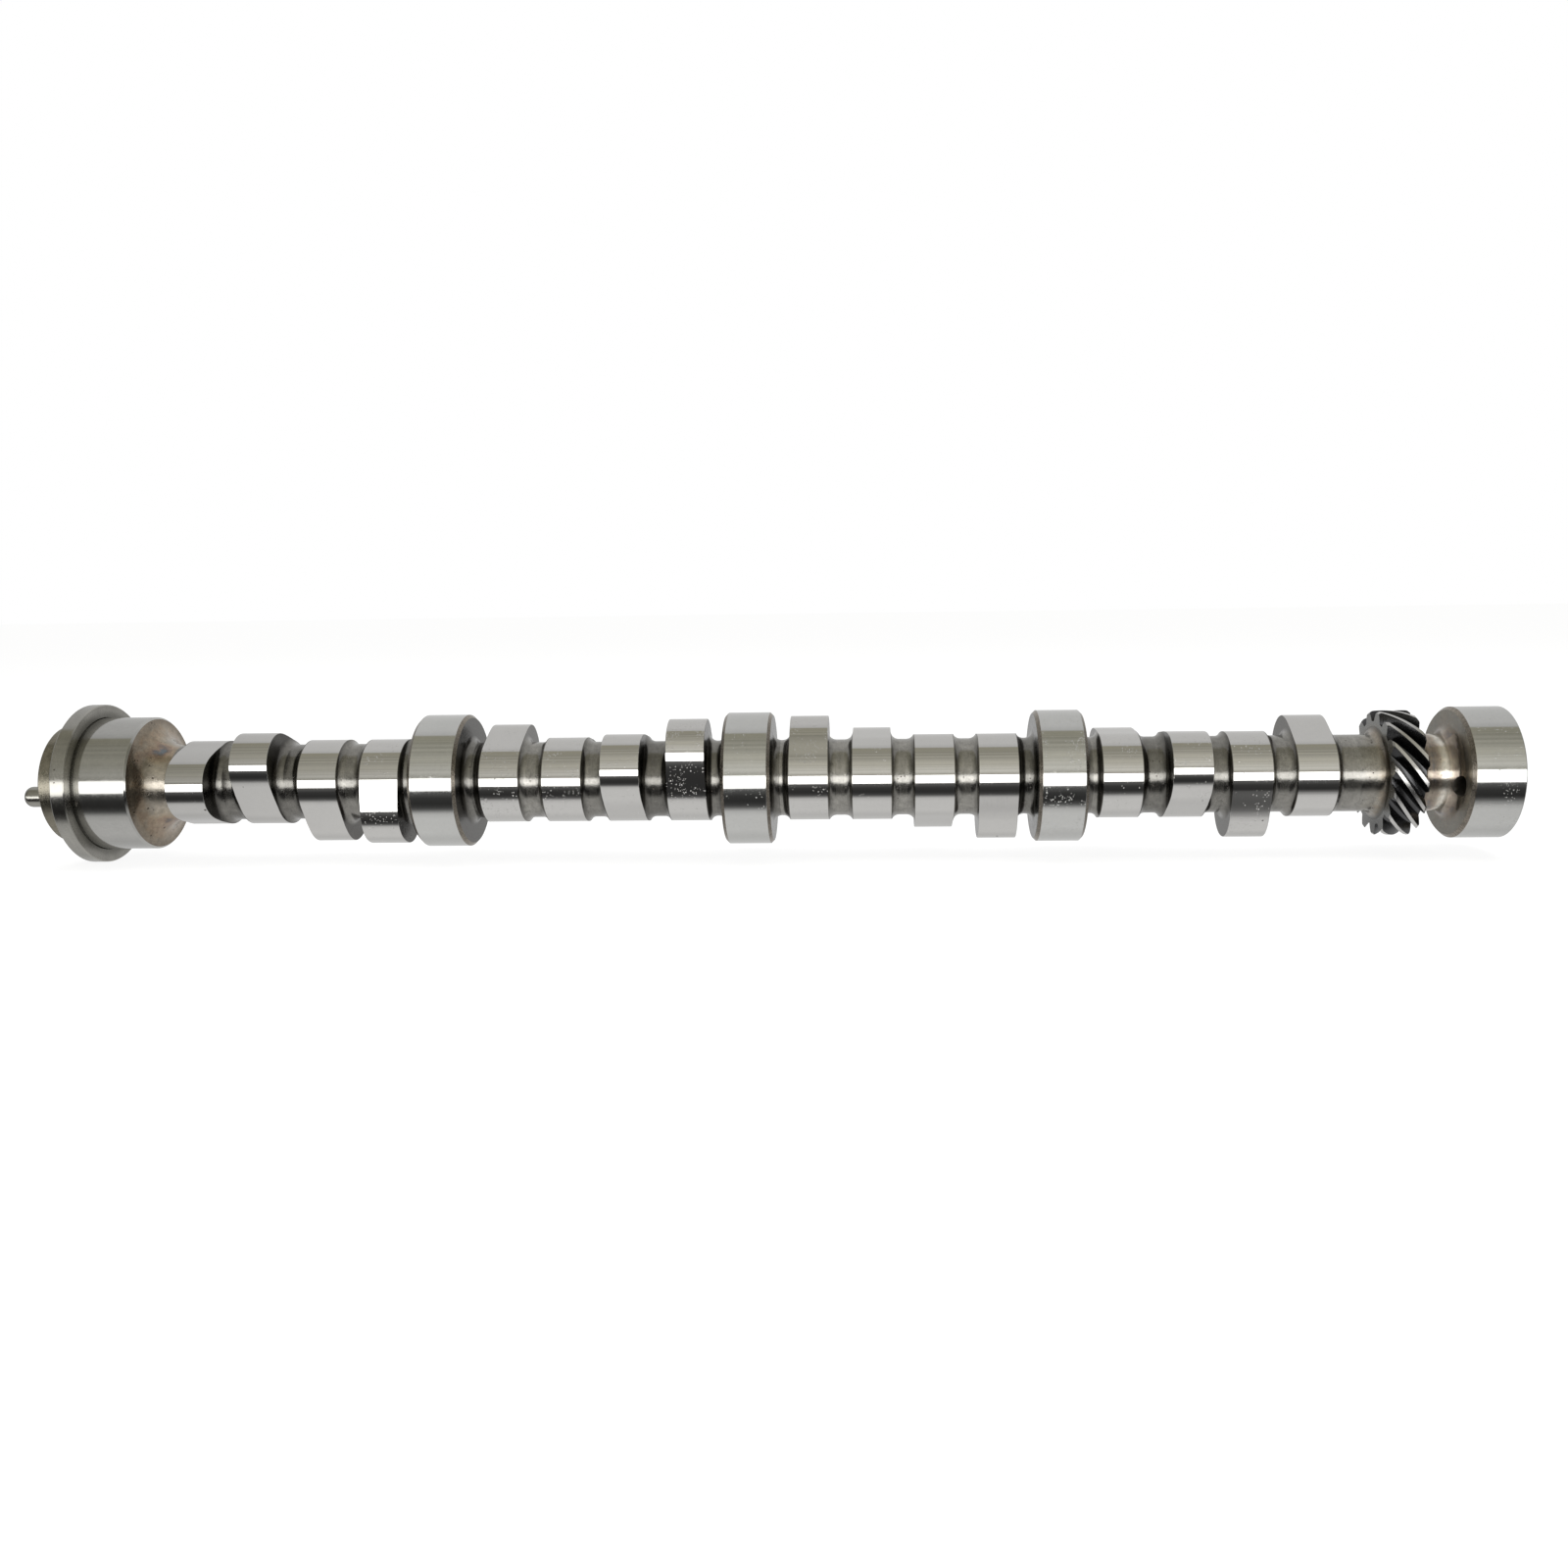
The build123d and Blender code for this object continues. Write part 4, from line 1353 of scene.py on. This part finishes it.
    def oil_specks(self) -> bpy.types.NodeTree:
        """Small drops of oil in loose clusters: rounded bumps, with a mask that is 1 on a drop."""
        group = Group("Oil Specks", {"Amount": ("Float", 0.0)}, {"Height": "Float", "Mask": "Float"})
        n = group.nodes
        place, _ = self.place(n)
        bent = n.add("TexNoise", Vector=place, Scale=1.1, Detail=2.0)
        shift = n.add("VectorMath", {"operation": "SCALE"}, Scale=0.6, n0=bent.outputs["Color"]).outputs[0]
        moved = n.add("VectorMath", {"operation": "ADD"}, n0=place, n1=shift)
        cells = n.add("TexVoronoi", {"feature": "F1"}, Vector=moved.outputs[0], Scale=1.55, Randomness=1.0)
        chance = n.add("SeparateColor", n0=cells.outputs["Color"])
        cluster = n.add("TexNoise", Vector=place, Scale=0.13, Detail=2.0, Roughness=0.5)
        near = n.spread(cluster.outputs["Fac"], 0.44, 0.62)
        limit = n.times(n.times(near, group.source.outputs["Amount"]), 0.55)
        chosen = n.math("LESS_THAN", chance.outputs[0], limit)
        least, more = DROP_SIZES
        size = n.plus_times(least, chance.outputs[1], more)
        dome = n.math("DIVIDE", n.math("SUBTRACT", size, cells.outputs["Distance"]), size, clamp=True)
        shaped = n.math("SQRT", dome)
        group.give("Height", n.times(chosen, shaped))
        group.give("Mask", n.times(chosen, n.math("GREATER_THAN", dome, 0.02)))
        return group.tree

    def fine_scratches(self) -> bpy.types.NodeTree:
        """Few thin scratches that run round the shaft and a few that cross it."""
        group = Group("Fine Scratches", {"Amount": ("Float", 0.5)}, {"Mask": "Float"})
        n = group.nodes
        place, _ = self.place(n)
        masks = []
        for turn, stretch, threshold in ((0.35, (0.9, 0.05, 0.05), 0.006), (-0.5, (0.6, 0.04, 0.07), 0.005)):
            mapped = n.add("Mapping", Vector=place)
            mapped.inputs["Rotation"].default_value = (turn, 0.0, turn * 0.6)
            mapped.inputs["Scale"].default_value = stretch
            lines = n.add("TexVoronoi", {"feature": "DISTANCE_TO_EDGE"}, Vector=mapped.outputs[0], Scale=1.6,
                          Randomness=1.0)
            masks.append(n.math("LESS_THAN", lines.outputs["Distance"], threshold))
        patchy = n.spread(n.add("TexNoise", Vector=place, Scale=0.16, Detail=2.0).outputs["Fac"], 0.5, 0.64)
        both = n.math("MAXIMUM", masks[0], masks[1])
        group.give("Mask", n.times(n.times(both, patchy), group.source.outputs["Amount"]))
        return group.tree


@dataclass(frozen=True)
class Marks:
    """Rings that a tool left: how fine they are, and what they do to the bump's height, gloss and colour."""

    fineness: float = 4.0
    height: float = 0.0
    roughness: float = 0.0
    colour: float = 0.0


@dataclass(frozen=True)
class Mottle:
    """Uneven patches: their size, what they do to colour and gloss, and the height of their fine grain."""

    size: float = 5.0
    colour: float = 0.0
    roughness: float = 0.0
    grain: float = 0.0


@dataclass(frozen=True)
class Pits:
    """Small pits: the space from one to the next, the share of places that have one, and their depth."""

    spacing: float = 1.6
    share: float = 0.0
    depth: float = 0.03


@dataclass(frozen=True)
class Outwards:
    """A colour that takes over between two distances from the axis."""

    colour: Rgb
    start: float = 15.0
    end: float = 17.6


@dataclass(frozen=True)
class SteelFinish:
    """One finish of the steel: its colour and gloss, and how much of each shared effect it carries.

    Lengths are in millimetres. The optional brighter colour is a painted highlight, used where the second
    attribute is 1.
    tint, oil and scratches are the strengths of those effects.
    """

    zone: Zone
    colour: Rgb
    roughness: float
    marks: Marks = Marks()
    mottle: Mottle = Mottle()
    pits: Pits = Pits()
    outwards: Outwards | None = None
    sheen: Rgb | None = None
    metallic: float = 1.0
    tint: float = 0.0
    oil: float = 0.0
    scratches: float = 0.0

    def build(self, effects: Effects) -> bpy.types.Material:
        """Builds the material.

        Args:
            effects: the shared node groups.

        Returns:
            The material, named after its zone.
        """
        material = bpy.data.materials.new(self.zone.value)
        material.use_nodes = True
        n = Nodes(material.node_tree)
        marks = n.add("Group", {"node_tree": effects.marks}, Fineness=self.marks.fineness).outputs["Marks"]
        mottle = n.add("Group", {"node_tree": effects.mottle}, Size=self.mottle.size)
        coarse, fine = mottle.outputs["Coarse"], mottle.outputs["Fine"]
        uneven = n.math("ADD", n.times(n.centred(coarse), 1.5), n.times(n.centred(fine), 1.3))
        level = n.plus_times(1.0, uneven, 2.0 * self.mottle.colour)
        shade = n.grey(n.plus_times(level, n.centred(marks), 2.0 * self.marks.colour))
        colour = (*self.colour, 1.0)
        if self.outwards:
            share = n.spread(effects.place(n)[1], self.outwards.start, self.outwards.end)
            colour = n.mix(share, colour, (*self.outwards.colour, 1.0))
        # Painted highlight: the colour turns to the brighter one where the second attribute is 1.
        if self.sheen:
            colour = n.mix(n.attribute("oil_and_sheen"), colour, (*self.sheen, 1.0))
        colour = n.mix(1.0, colour, shade, "MULTIPLY")
        if self.tint > 0.0:
            # Below 0 the first attribute makes the colour darker: each neck by its own amount, and the lower
            # side of the gear's face as painted shade.
            heat = n.attribute("tint_and_shade")
            darkening = n.grey(n.spread(heat, -1.0, 0.0, 0.3, 1.0, False))
            colour = n.mix(1.0, colour, darkening, "MULTIPLY")
            tint = n.add("Group", {"node_tree": effects.tint}, Heat=heat, Strength=self.tint, Bare=colour)
            colour = tint.outputs["Color"]
        rough = n.plus_times(self.roughness, uneven, 2.0 * self.mottle.roughness)
        rough = n.plus_times(rough, n.centred(marks), 2.0 * self.marks.roughness)
        height = n.plus_times(n.times(marks, self.marks.height), fine, self.mottle.grain)
        if self.pits.share > 0.0:
            pits = n.add("Group", {"node_tree": effects.pits}, Spacing=self.pits.spacing,
                         Share=self.pits.share)
            mask = pits.outputs["Mask"]
            colour = n.mix(n.times(mask, 0.85), colour, PIT_COLOUR)
            rough = n.plus_times(rough, mask, 0.25)
            height = n.plus_times(height, mask, -self.pits.depth)
        if self.scratches > 0.0:
            lines = n.add("Group", {"node_tree": effects.scratches}, Amount=self.scratches).outputs["Mask"]
            rough = n.plus_times(rough, lines, 0.2)
            height = n.plus_times(height, lines, -0.004)
        if self.oil > 0.0:
            amount = n.times(n.attribute("oil_and_sheen"), self.oil)
            drops = n.add("Group", {"node_tree": effects.specks}, Amount=amount)
            height = n.plus_times(height, drops.outputs["Height"], 0.12)
            rough = n.mix(drops.outputs["Mask"], rough, white(0.04))
        rough = n.math("MAXIMUM", rough, 0.02)
        bump = n.add("Bump", Strength=1.0, Distance=MM, Height=height)
        shader = n.add("BsdfPrincipled", Metallic=self.metallic, Base_Color=colour, Roughness=rough,
                       Normal=bump.outputs["Normal"])
        n.add("OutputMaterial", Surface=shader.outputs["BSDF"])
        return material


# The darker colours that take over outwards are painted shade: on the fillets, on the sides of lobes and
# journals, and on the rear journal's front face.
NECK_STEEL = SteelFinish(
    Zone.TURNED, (0.31, 0.30, 0.275), 0.16, Marks(3.2, 0.006, 0.05, 0.16), Mottle(2.6, 0.32, 0.06, 0.016),
    # The brighter colour here is the painted highlight ring on the neck before the rear journal.
    Pits(1.3, 0.22), Outwards((0.20, 0.19, 0.17)), sheen=(0.74, 0.72, 0.67), metallic=0.9, tint=0.8,
)
FINISHES = (
    NECK_STEEL,
    replace(NECK_STEEL, zone=Zone.SIDE, roughness=0.20, metallic=1.0, sheen=None,
            outwards=Outwards((0.115, 0.11, 0.10))),
    replace(NECK_STEEL, zone=Zone.FACE, roughness=0.22, metallic=0.8, sheen=None,
            outwards=Outwards((0.20, 0.195, 0.175))),
    SteelFinish(Zone.GROUND_LOBE, (0.63, 0.62, 0.60), 0.045, Marks(9.0, 0.0, 0.012, 0.02),
                Mottle(9.0, 0.02, 0.01), Pits(2.4, 0.012, 0.01), oil=1.0, scratches=0.5),
    SteelFinish(Zone.GROUND_JOURNAL, (0.60, 0.60, 0.58), 0.085, Marks(11.0, 0.0006, 0.03, 0.03),
                Mottle(8.0, 0.03, 0.02), oil=1.0, scratches=0.5),
    SteelFinish(Zone.FRONT_JOURNAL, (0.54, 0.535, 0.51), 0.115, Marks(8.0, 0.0012, 0.05, 0.05),
                Mottle(9.0, 0.05, 0.03)),
    SteelFinish(Zone.CHAMFER, (0.28, 0.25, 0.21), 0.26, Marks(5.0, 0.0, 0.0, 0.10),
                Mottle(1.6, 0.40, 0.08, 0.01), Pits(0.9, 0.40)),
    # The browner, darker colour towards the rim is heat tint together with painted shade on the dish's outer
    # part.
    SteelFinish(Zone.DISH, (0.375, 0.345, 0.30), 0.20, Marks(2.4, 0.004, 0.05, 0.10),
                Mottle(2.4, 0.36, 0.06, 0.02),
                Pits(2.6, 0.52), Outwards((0.28, 0.24, 0.195), 19.0, 25.2), metallic=0.92, tint=1.0),
    SteelFinish(Zone.FLANGE, (0.43, 0.42, 0.385), 0.15, Marks(4.5, 0.003, 0.05, 0.10),
                Mottle(4.0, 0.12, 0.05, 0.004), Pits(2.9, 0.36)),
    # Dark by the front journal's corner and lighter outwards: painted shade in the corner.
    SteelFinish(Zone.THRUST, (0.20, 0.195, 0.175), 0.25, Marks(3.4, 0.003, 0.05, 0.14),
                Mottle(4.0, 0.16, 0.05, 0.006), outwards=Outwards((0.36, 0.35, 0.32), 26.6, 29.5)),
    SteelFinish(Zone.BOSS, (0.27, 0.25, 0.20), 0.28, Marks(3.4, 0.008, 0.06, 0.16),
                Mottle(2.4, 0.36, 0.08, 0.03), Pits(1.2, 0.30)),
    SteelFinish(Zone.BORE, (0.22, 0.21, 0.20), 0.35, Marks(5.0, 0.01), Mottle(colour=0.2)),
    # Near-black walls in the port and oil hole: painted shade inside the holes.
    SteelFinish(Zone.HOLE, (0.08, 0.072, 0.06), 0.45, mottle=Mottle(1.5, 0.3), metallic=0.5),
    SteelFinish(Zone.GEAR_FACE, (0.22, 0.22, 0.21), 0.28, Marks(3.0, 0.004, 0.0, 0.12),
                Mottle(3.0, 0.24, 0.08, 0.012), Pits(1.4, 0.15), metallic=0.9, tint=0.8),
    # Near-black flanks: painted shade in the gaps between the teeth.
    SteelFinish(Zone.GEAR_FLANK, (0.09, 0.09, 0.092), 0.27, Marks(2.6, 0.004, 0.0, 0.15),
                Mottle(2.5, 0.25, 0.08, 0.01)),
    SteelFinish(Zone.GEAR_LAND, (0.62, 0.61, 0.59), 0.26, Marks(6.0, 0.002, 0.0, 0.08),
                Mottle(3.0, 0.12, 0.06)),
    SteelFinish(Zone.PIN, (0.42, 0.41, 0.37), 0.20, Marks(9.0, 0.002, 0.0, 0.06), Mottle(3.0, 0.08, 0.04)),
)


# -------------------------------------------------------------------------------------------------- studio


@dataclass(frozen=True)
class Stop:
    """One stop of the light round the shaft: its angle in degrees from -Y towards +Z, level and warmth."""

    angle: float
    level: float
    warmth: float = 0.0


PANELS = tuple(Stop(*values) for values in (
    (-180.0, 0.68), (-115.0, 0.67), (-95.0, 0.77), (-62.0, 0.76), (-53.0, 0.66), (-50.0, 0.48),
    (-46.5, 0.24), (-44.0, 0.12), (-41.0, 0.075), (-38.0, 0.052), (-33.5, 0.038), (-23.0, 0.052),
    (-18.0, 0.095), (-10.6, 0.17), (-9.9, 3.2), (10.1, 3.2), (10.6, 0.42, 0.2), (13.2, 0.44, 0.2),
    (15.5, 0.62, 0.12), (22.0, 0.69, 0.12), (28.0, 0.65, 0.14), (33.0, 0.56, 0.16), (42.0, 0.545, 0.2),
    (48.0, 0.52, 0.2), (53.0, 0.44, 0.2), (64.0, 0.4, 0.22), (70.0, 0.36, 0.22), (90.0, 0.35, 0.3),
    (92.5, 0.6), (105.0, 0.69), (180.0, 0.7),
))


@dataclass
class Studio:
    """Plain floor, soft light and the camera.

    The light's left, middle and high levels are factors of the panels above the shaft: low down they go from
    left to middle along the shaft, and higher up they are high all along it. The lip factor brightens the
    dark panel's lower edge towards the rear end. Camera angles are in degrees, and its lens, frame and shift
    in the pixels of a square frame.
    """

    floor_z: float = -0.031
    floor_size: float = 30.0
    strength: float = 3.6
    left_level: float = 0.82
    middle_level: float = 1.12
    high_level: float = 1.07
    lip_level: float = 1.9
    near_level: float = 0.80
    far_level: float = 0.60
    band_edge: float = 10.4
    stripe: float = 0.20
    lens_pixels: float = 1374.9
    frame_pixels: float = 1600.0
    shift_pixels: tuple[float, float] = (-39.2, -6.9)
    sensor: float = 36.0
    away: float = 0.5205
    aim_x: float = 0.2932
    camera_height: float = 7.3
    camera_yaw: float = 2.382
    camera_roll: float = 0.478

    def world(self) -> None:
        """Surrounds the shaft with the panels, and shows white to the camera."""
        world = bpy.data.worlds.new("studio")
        bpy.context.scene.world = world
        world.use_nodes = True
        n = Nodes(world.node_tree)
        way = n.add("SeparateXYZ", n0=n.add("TexCoord").outputs["Generated"])
        angle = n.math("ARCTAN2", way.outputs[2], n.times(way.outputs[1], -1.0))
        turn = n.plus_times(0.5, angle, 0.5 / math.pi)
        ramp = n.add("ValToRGB", n0=turn)
        elements = ramp.color_ramp.elements
        elements.remove(elements[-1])
        for i, stop in enumerate(PANELS):
            place = (stop.angle + 180.0) / 360.0
            element = elements[0] if i == 0 else elements.new(place)
            element.position = place
            level = stop.level / self.strength
            green, blue = 1.0 - 0.12 * stop.warmth, 1.0 - 0.75 * stop.warmth
            element.color = (level, level * green, level * blue, 1.0)
        degrees = n.times(angle, 180.0 / math.pi)
        upper = n.times(n.math("GREATER_THAN", degrees, self.band_edge), n.spread(degrees, 96.0, 80.0))
        low_left, low_middle = self.left_level - self.high_level, self.middle_level - self.high_level
        slope = n.spread(way.outputs[0], -0.52, 0.0, low_left, low_middle)
        left = n.plus_times(self.high_level, n.spread(degrees, 75.0, 30.0), slope)
        stripes = n.add("TexNoise", {"noise_dimensions": "1D"}, W=degrees, Scale=0.22, Detail=2.0,
                        Roughness=0.7)
        streak = n.spread(stripes.outputs["Fac"], 0.25, 0.75, 1.0 - self.stripe, 1.0 + self.stripe, False)
        upper_level = n.plus_times(1.0, upper, n.math("SUBTRACT", n.times(left, streak), 1.0))
        sideways = n.math("ABSOLUTE", way.outputs[0])
        near = n.spread(sideways, 0.34, 0.55, 1.0, self.near_level)
        far = n.spread(sideways, 0.55, 0.95, 1.0, self.far_level)
        band = n.math("LESS_THAN", n.math("ABSOLUTE", degrees), self.band_edge)
        far = n.math("MAXIMUM", far, band)
        lip = n.times(n.spread(degrees, -50.0, -44.0), n.spread(degrees, -36.0, -41.0))
        lip = n.plus_times(1.0, n.times(lip, n.spread(way.outputs[0], 0.12, 0.32)), self.lip_level - 1.0)
        shade = n.grey(n.times(n.times(near, far), n.times(upper_level, lip)))
        colour = n.mix(1.0, ramp.outputs["Color"], shade, "MULTIPLY")
        light = n.add("Background", Color=colour, Strength=self.strength)
        plain = n.add("Background", Color=white(1.0), Strength=1.0)
        camera = n.add("LightPath").outputs["Is Camera Ray"]
        seen = n.add("MixShader", n0=camera, n1=light.outputs[0], n2=plain.outputs[0])
        n.add("OutputWorld", Surface=seen.outputs[0])

    def floor(self) -> bpy.types.Object:
        """Lays the pale floor under the shaft. It keeps a soft shadow."""
        half = self.floor_size / 2.0
        mesh = bpy.data.meshes.new("studio_floor")
        corners = ((-half, -half), (half, -half), (half, half), (-half, half))
        mesh.from_pydata([(x, y, self.floor_z) for x, y in corners], [], [(0, 1, 2, 3)])
        floor = bpy.data.objects.new("studio_floor", mesh)
        bpy.context.scene.collection.objects.link(floor)
        material = bpy.data.materials.new("floor_white")
        material.use_nodes = True
        n = Nodes(material.node_tree)
        matte = n.add("BsdfDiffuse", Color=white(0.85))
        glow = n.add("Emission", Color=white(1.0), Strength=1.12)
        share = n.times(n.add("LightPath").outputs["Is Camera Ray"], 0.80)
        mixed = n.add("MixShader", n0=share, n1=matte.outputs[0], n2=glow.outputs[0])
        n.add("OutputMaterial", Surface=mixed.outputs[0])
        mesh.materials.append(material)
        floor.visible_glossy = False
        return floor

    def lamp(self) -> None:
        """Hangs one wide soft lamp over the shaft, which lights the floor."""
        data = bpy.data.lights.new("overhead_softbox", "AREA")
        data.shape, data.size, data.size_y, data.energy = "RECTANGLE", 2.4, 1.4, 26.0
        lamp = bpy.data.objects.new("overhead_softbox", data)
        lamp.location = (0.25, -0.1, 1.5)
        lamp.visible_glossy = False
        lamp.visible_camera = False
        bpy.context.scene.collection.objects.link(lamp)

    def camera(self) -> None:
        """Sets the camera a little above the shaft, near its middle, and turned slightly to the front end."""
        height, yaw, roll = (math.radians(w) for w in (self.camera_height, self.camera_yaw, self.camera_roll))
        data = bpy.data.cameras.new("camera")
        data.sensor_width = self.sensor
        data.lens = self.sensor * self.lens_pixels / self.frame_pixels
        data.shift_x, data.shift_y = (pixels / self.frame_pixels for pixels in self.shift_pixels)
        data.clip_start, data.clip_end = 0.01, 100.0
        camera = bpy.data.objects.new("camera", data)
        bpy.context.scene.collection.objects.link(camera)
        towards = Vector((0.0, math.cos(height), -math.sin(height)))
        right = Vector((1.0, 0.0, 0.0))
        forward = towards * math.cos(yaw) - right * math.sin(yaw)
        side = right * math.cos(yaw) + towards * math.sin(yaw)
        up = side.cross(forward)
        turned_side = side * math.cos(roll) - up * math.sin(roll)
        turned_up = up * math.cos(roll) + side * math.sin(roll)
        place = Vector((self.aim_x, 0.0, 0.0)) - towards * self.away
        turned = Matrix((turned_side, turned_up, -forward)).transposed().to_4x4()
        camera.matrix_world = Matrix.Translation(place) @ turned
        bpy.context.scene.camera = camera

    def build(self) -> None:
        """Builds the whole studio."""
        self.world()
        self.floor()
        self.lamp()
        self.camera()
        bpy.context.scene.view_settings.view_transform = "Standard"


# ---------------------------------------------------------------------------------------------------- shaft


@dataclass
class Camshaft:
    """The whole shaft: where its journals and lobes stand, and the sub-assemblies that make it up."""

    front_span: float = 126.3
    bearing_pitch: float = 4.625 * INCH
    journal_radius: float = 2.0357 * INCH / 2.0
    journal_step: float = 0.010 * INCH
    lobe_pitch_inner: float = 23.6
    lobe_pitch_outer: float = 23.95
    firing_order: tuple[int, ...] = (1, 8, 4, 3, 6, 5, 7, 2)
    bank_angle: float = 84.2
    separation: float = 109.5
    lobe_oil: tuple[float, ...] = (0.0, 0.0, 0.0, 0.5, 0.7, 1.0, 0.3, 1.0,
                                   0.7, 0.1, 0.0, 0.0, 0.5, 0.5, 0.5, 0.0)
    journal_oil: tuple[float, ...] = (0.0, 0.15, 1.0)
    # How much darker each neck is made, five to a bay from the front.
    neck_darkening: tuple[tuple[float, ...], ...] = ((0.3, 0.5, 0.5, 0.25, 0.5), (0.45, 0.05, 0.25, 0.6, 0.4),
                                                (0.0, 0.0, 0.0, 0.0, 0.6), (0.15, 0.5, 0.4, 0.2, 0.1))

    def valves(self) -> list[tuple[bool, int]]:
        """The lobes from front to rear: whether each is an exhaust, and its cylinder."""
        front = [(exhaust, n) for pair in ((1, 2), (3, 4)) for exhaust in (False, True) for n in pair]
        rear = [(exhaust, n) for pair in ((5, 6), (7, 8)) for exhaust in (True, False) for n in pair]
        return front + rear

    def nose(self, exhaust: bool, cylinder: int) -> float:
        """Angle of a lobe's nose in degrees, from the firing order and the lifter bank."""
        angle = 45.0 * self.firing_order.index(cylinder)
        if cylinder % 2 == 0:
            angle += self.bank_angle
        return angle - self.separation if exhaust else angle

    def journals(self) -> list[BearingJournal]:
        """The three bearing journals inside the row of lobes."""
        names = ("second_journal", "centre_journal", "fourth_journal")
        return [BearingJournal(name, self.front_span + i * self.bearing_pitch,
                               self.journal_radius - (i + 1) * self.journal_step, self.journal_oil[i])
                for i, name in enumerate(names)]

    def bays(self, start: float, end: float) -> list[CamLobes]:
        """The four bays of four lobes.

        Args:
            start: where the first bay starts, behind the front journal.
            end: where the last bay ends, in front of the gear.

        Returns:
            The bays from front to rear.
        """
        journals = self.journals()
        starts = [start] + [j.end for j in journals]
        ends = [j.start for j in journals] + [end]
        inner = self.lobe_pitch_inner / 2.0
        offsets = (-inner - self.lobe_pitch_outer, -inner, inner, inner + self.lobe_pitch_outer)
        valves = self.valves()
        bays = []
        for i in range(4):
            middle = self.front_span + (i - 0.5) * self.bearing_pitch
            four = valves[4 * i:4 * i + 4]
            bays.append(CamLobes(f"lobe_bay_{i + 1}", starts[i], ends[i], tuple(middle + o for o in offsets),
                                 tuple(self.nose(*v) for v in four), tuple(v[0] for v in four),
                                 self.lobe_oil[4 * i:4 * i + 4], self.neck_darkening[i]))
        return bays

    def parts(self) -> list[object]:
        """Every sub-assembly, from front to rear."""
        front, gear = FrontEnd(), HelicalGear()
        bays = self.bays(front.end, gear.start)
        return [DowelPin(), front, BoltThread(), *bays, *self.journals(), gear, RearEnd()]


def main() -> None:
    """Builds the finishes, every sub-assembly and the studio, and reports each piece."""
    logging.basicConfig(level=logging.INFO, format="%(name)s: %(message)s")
    effects = Effects()
    finishes = {finish.zone: finish.build(effects) for finish in FINISHES}
    total = 0
    for part in Camshaft().parts():
        piece = part.build(finishes)
        triangles = sum(len(p.vertices) - 2 for p in piece.data.polygons)
        total += triangles
        LOG.info("%s: %d triangles", piece.name, triangles)
    LOG.info("all pieces: %d triangles", total)
    Studio().build()


if __name__ == "__main__":
    main()
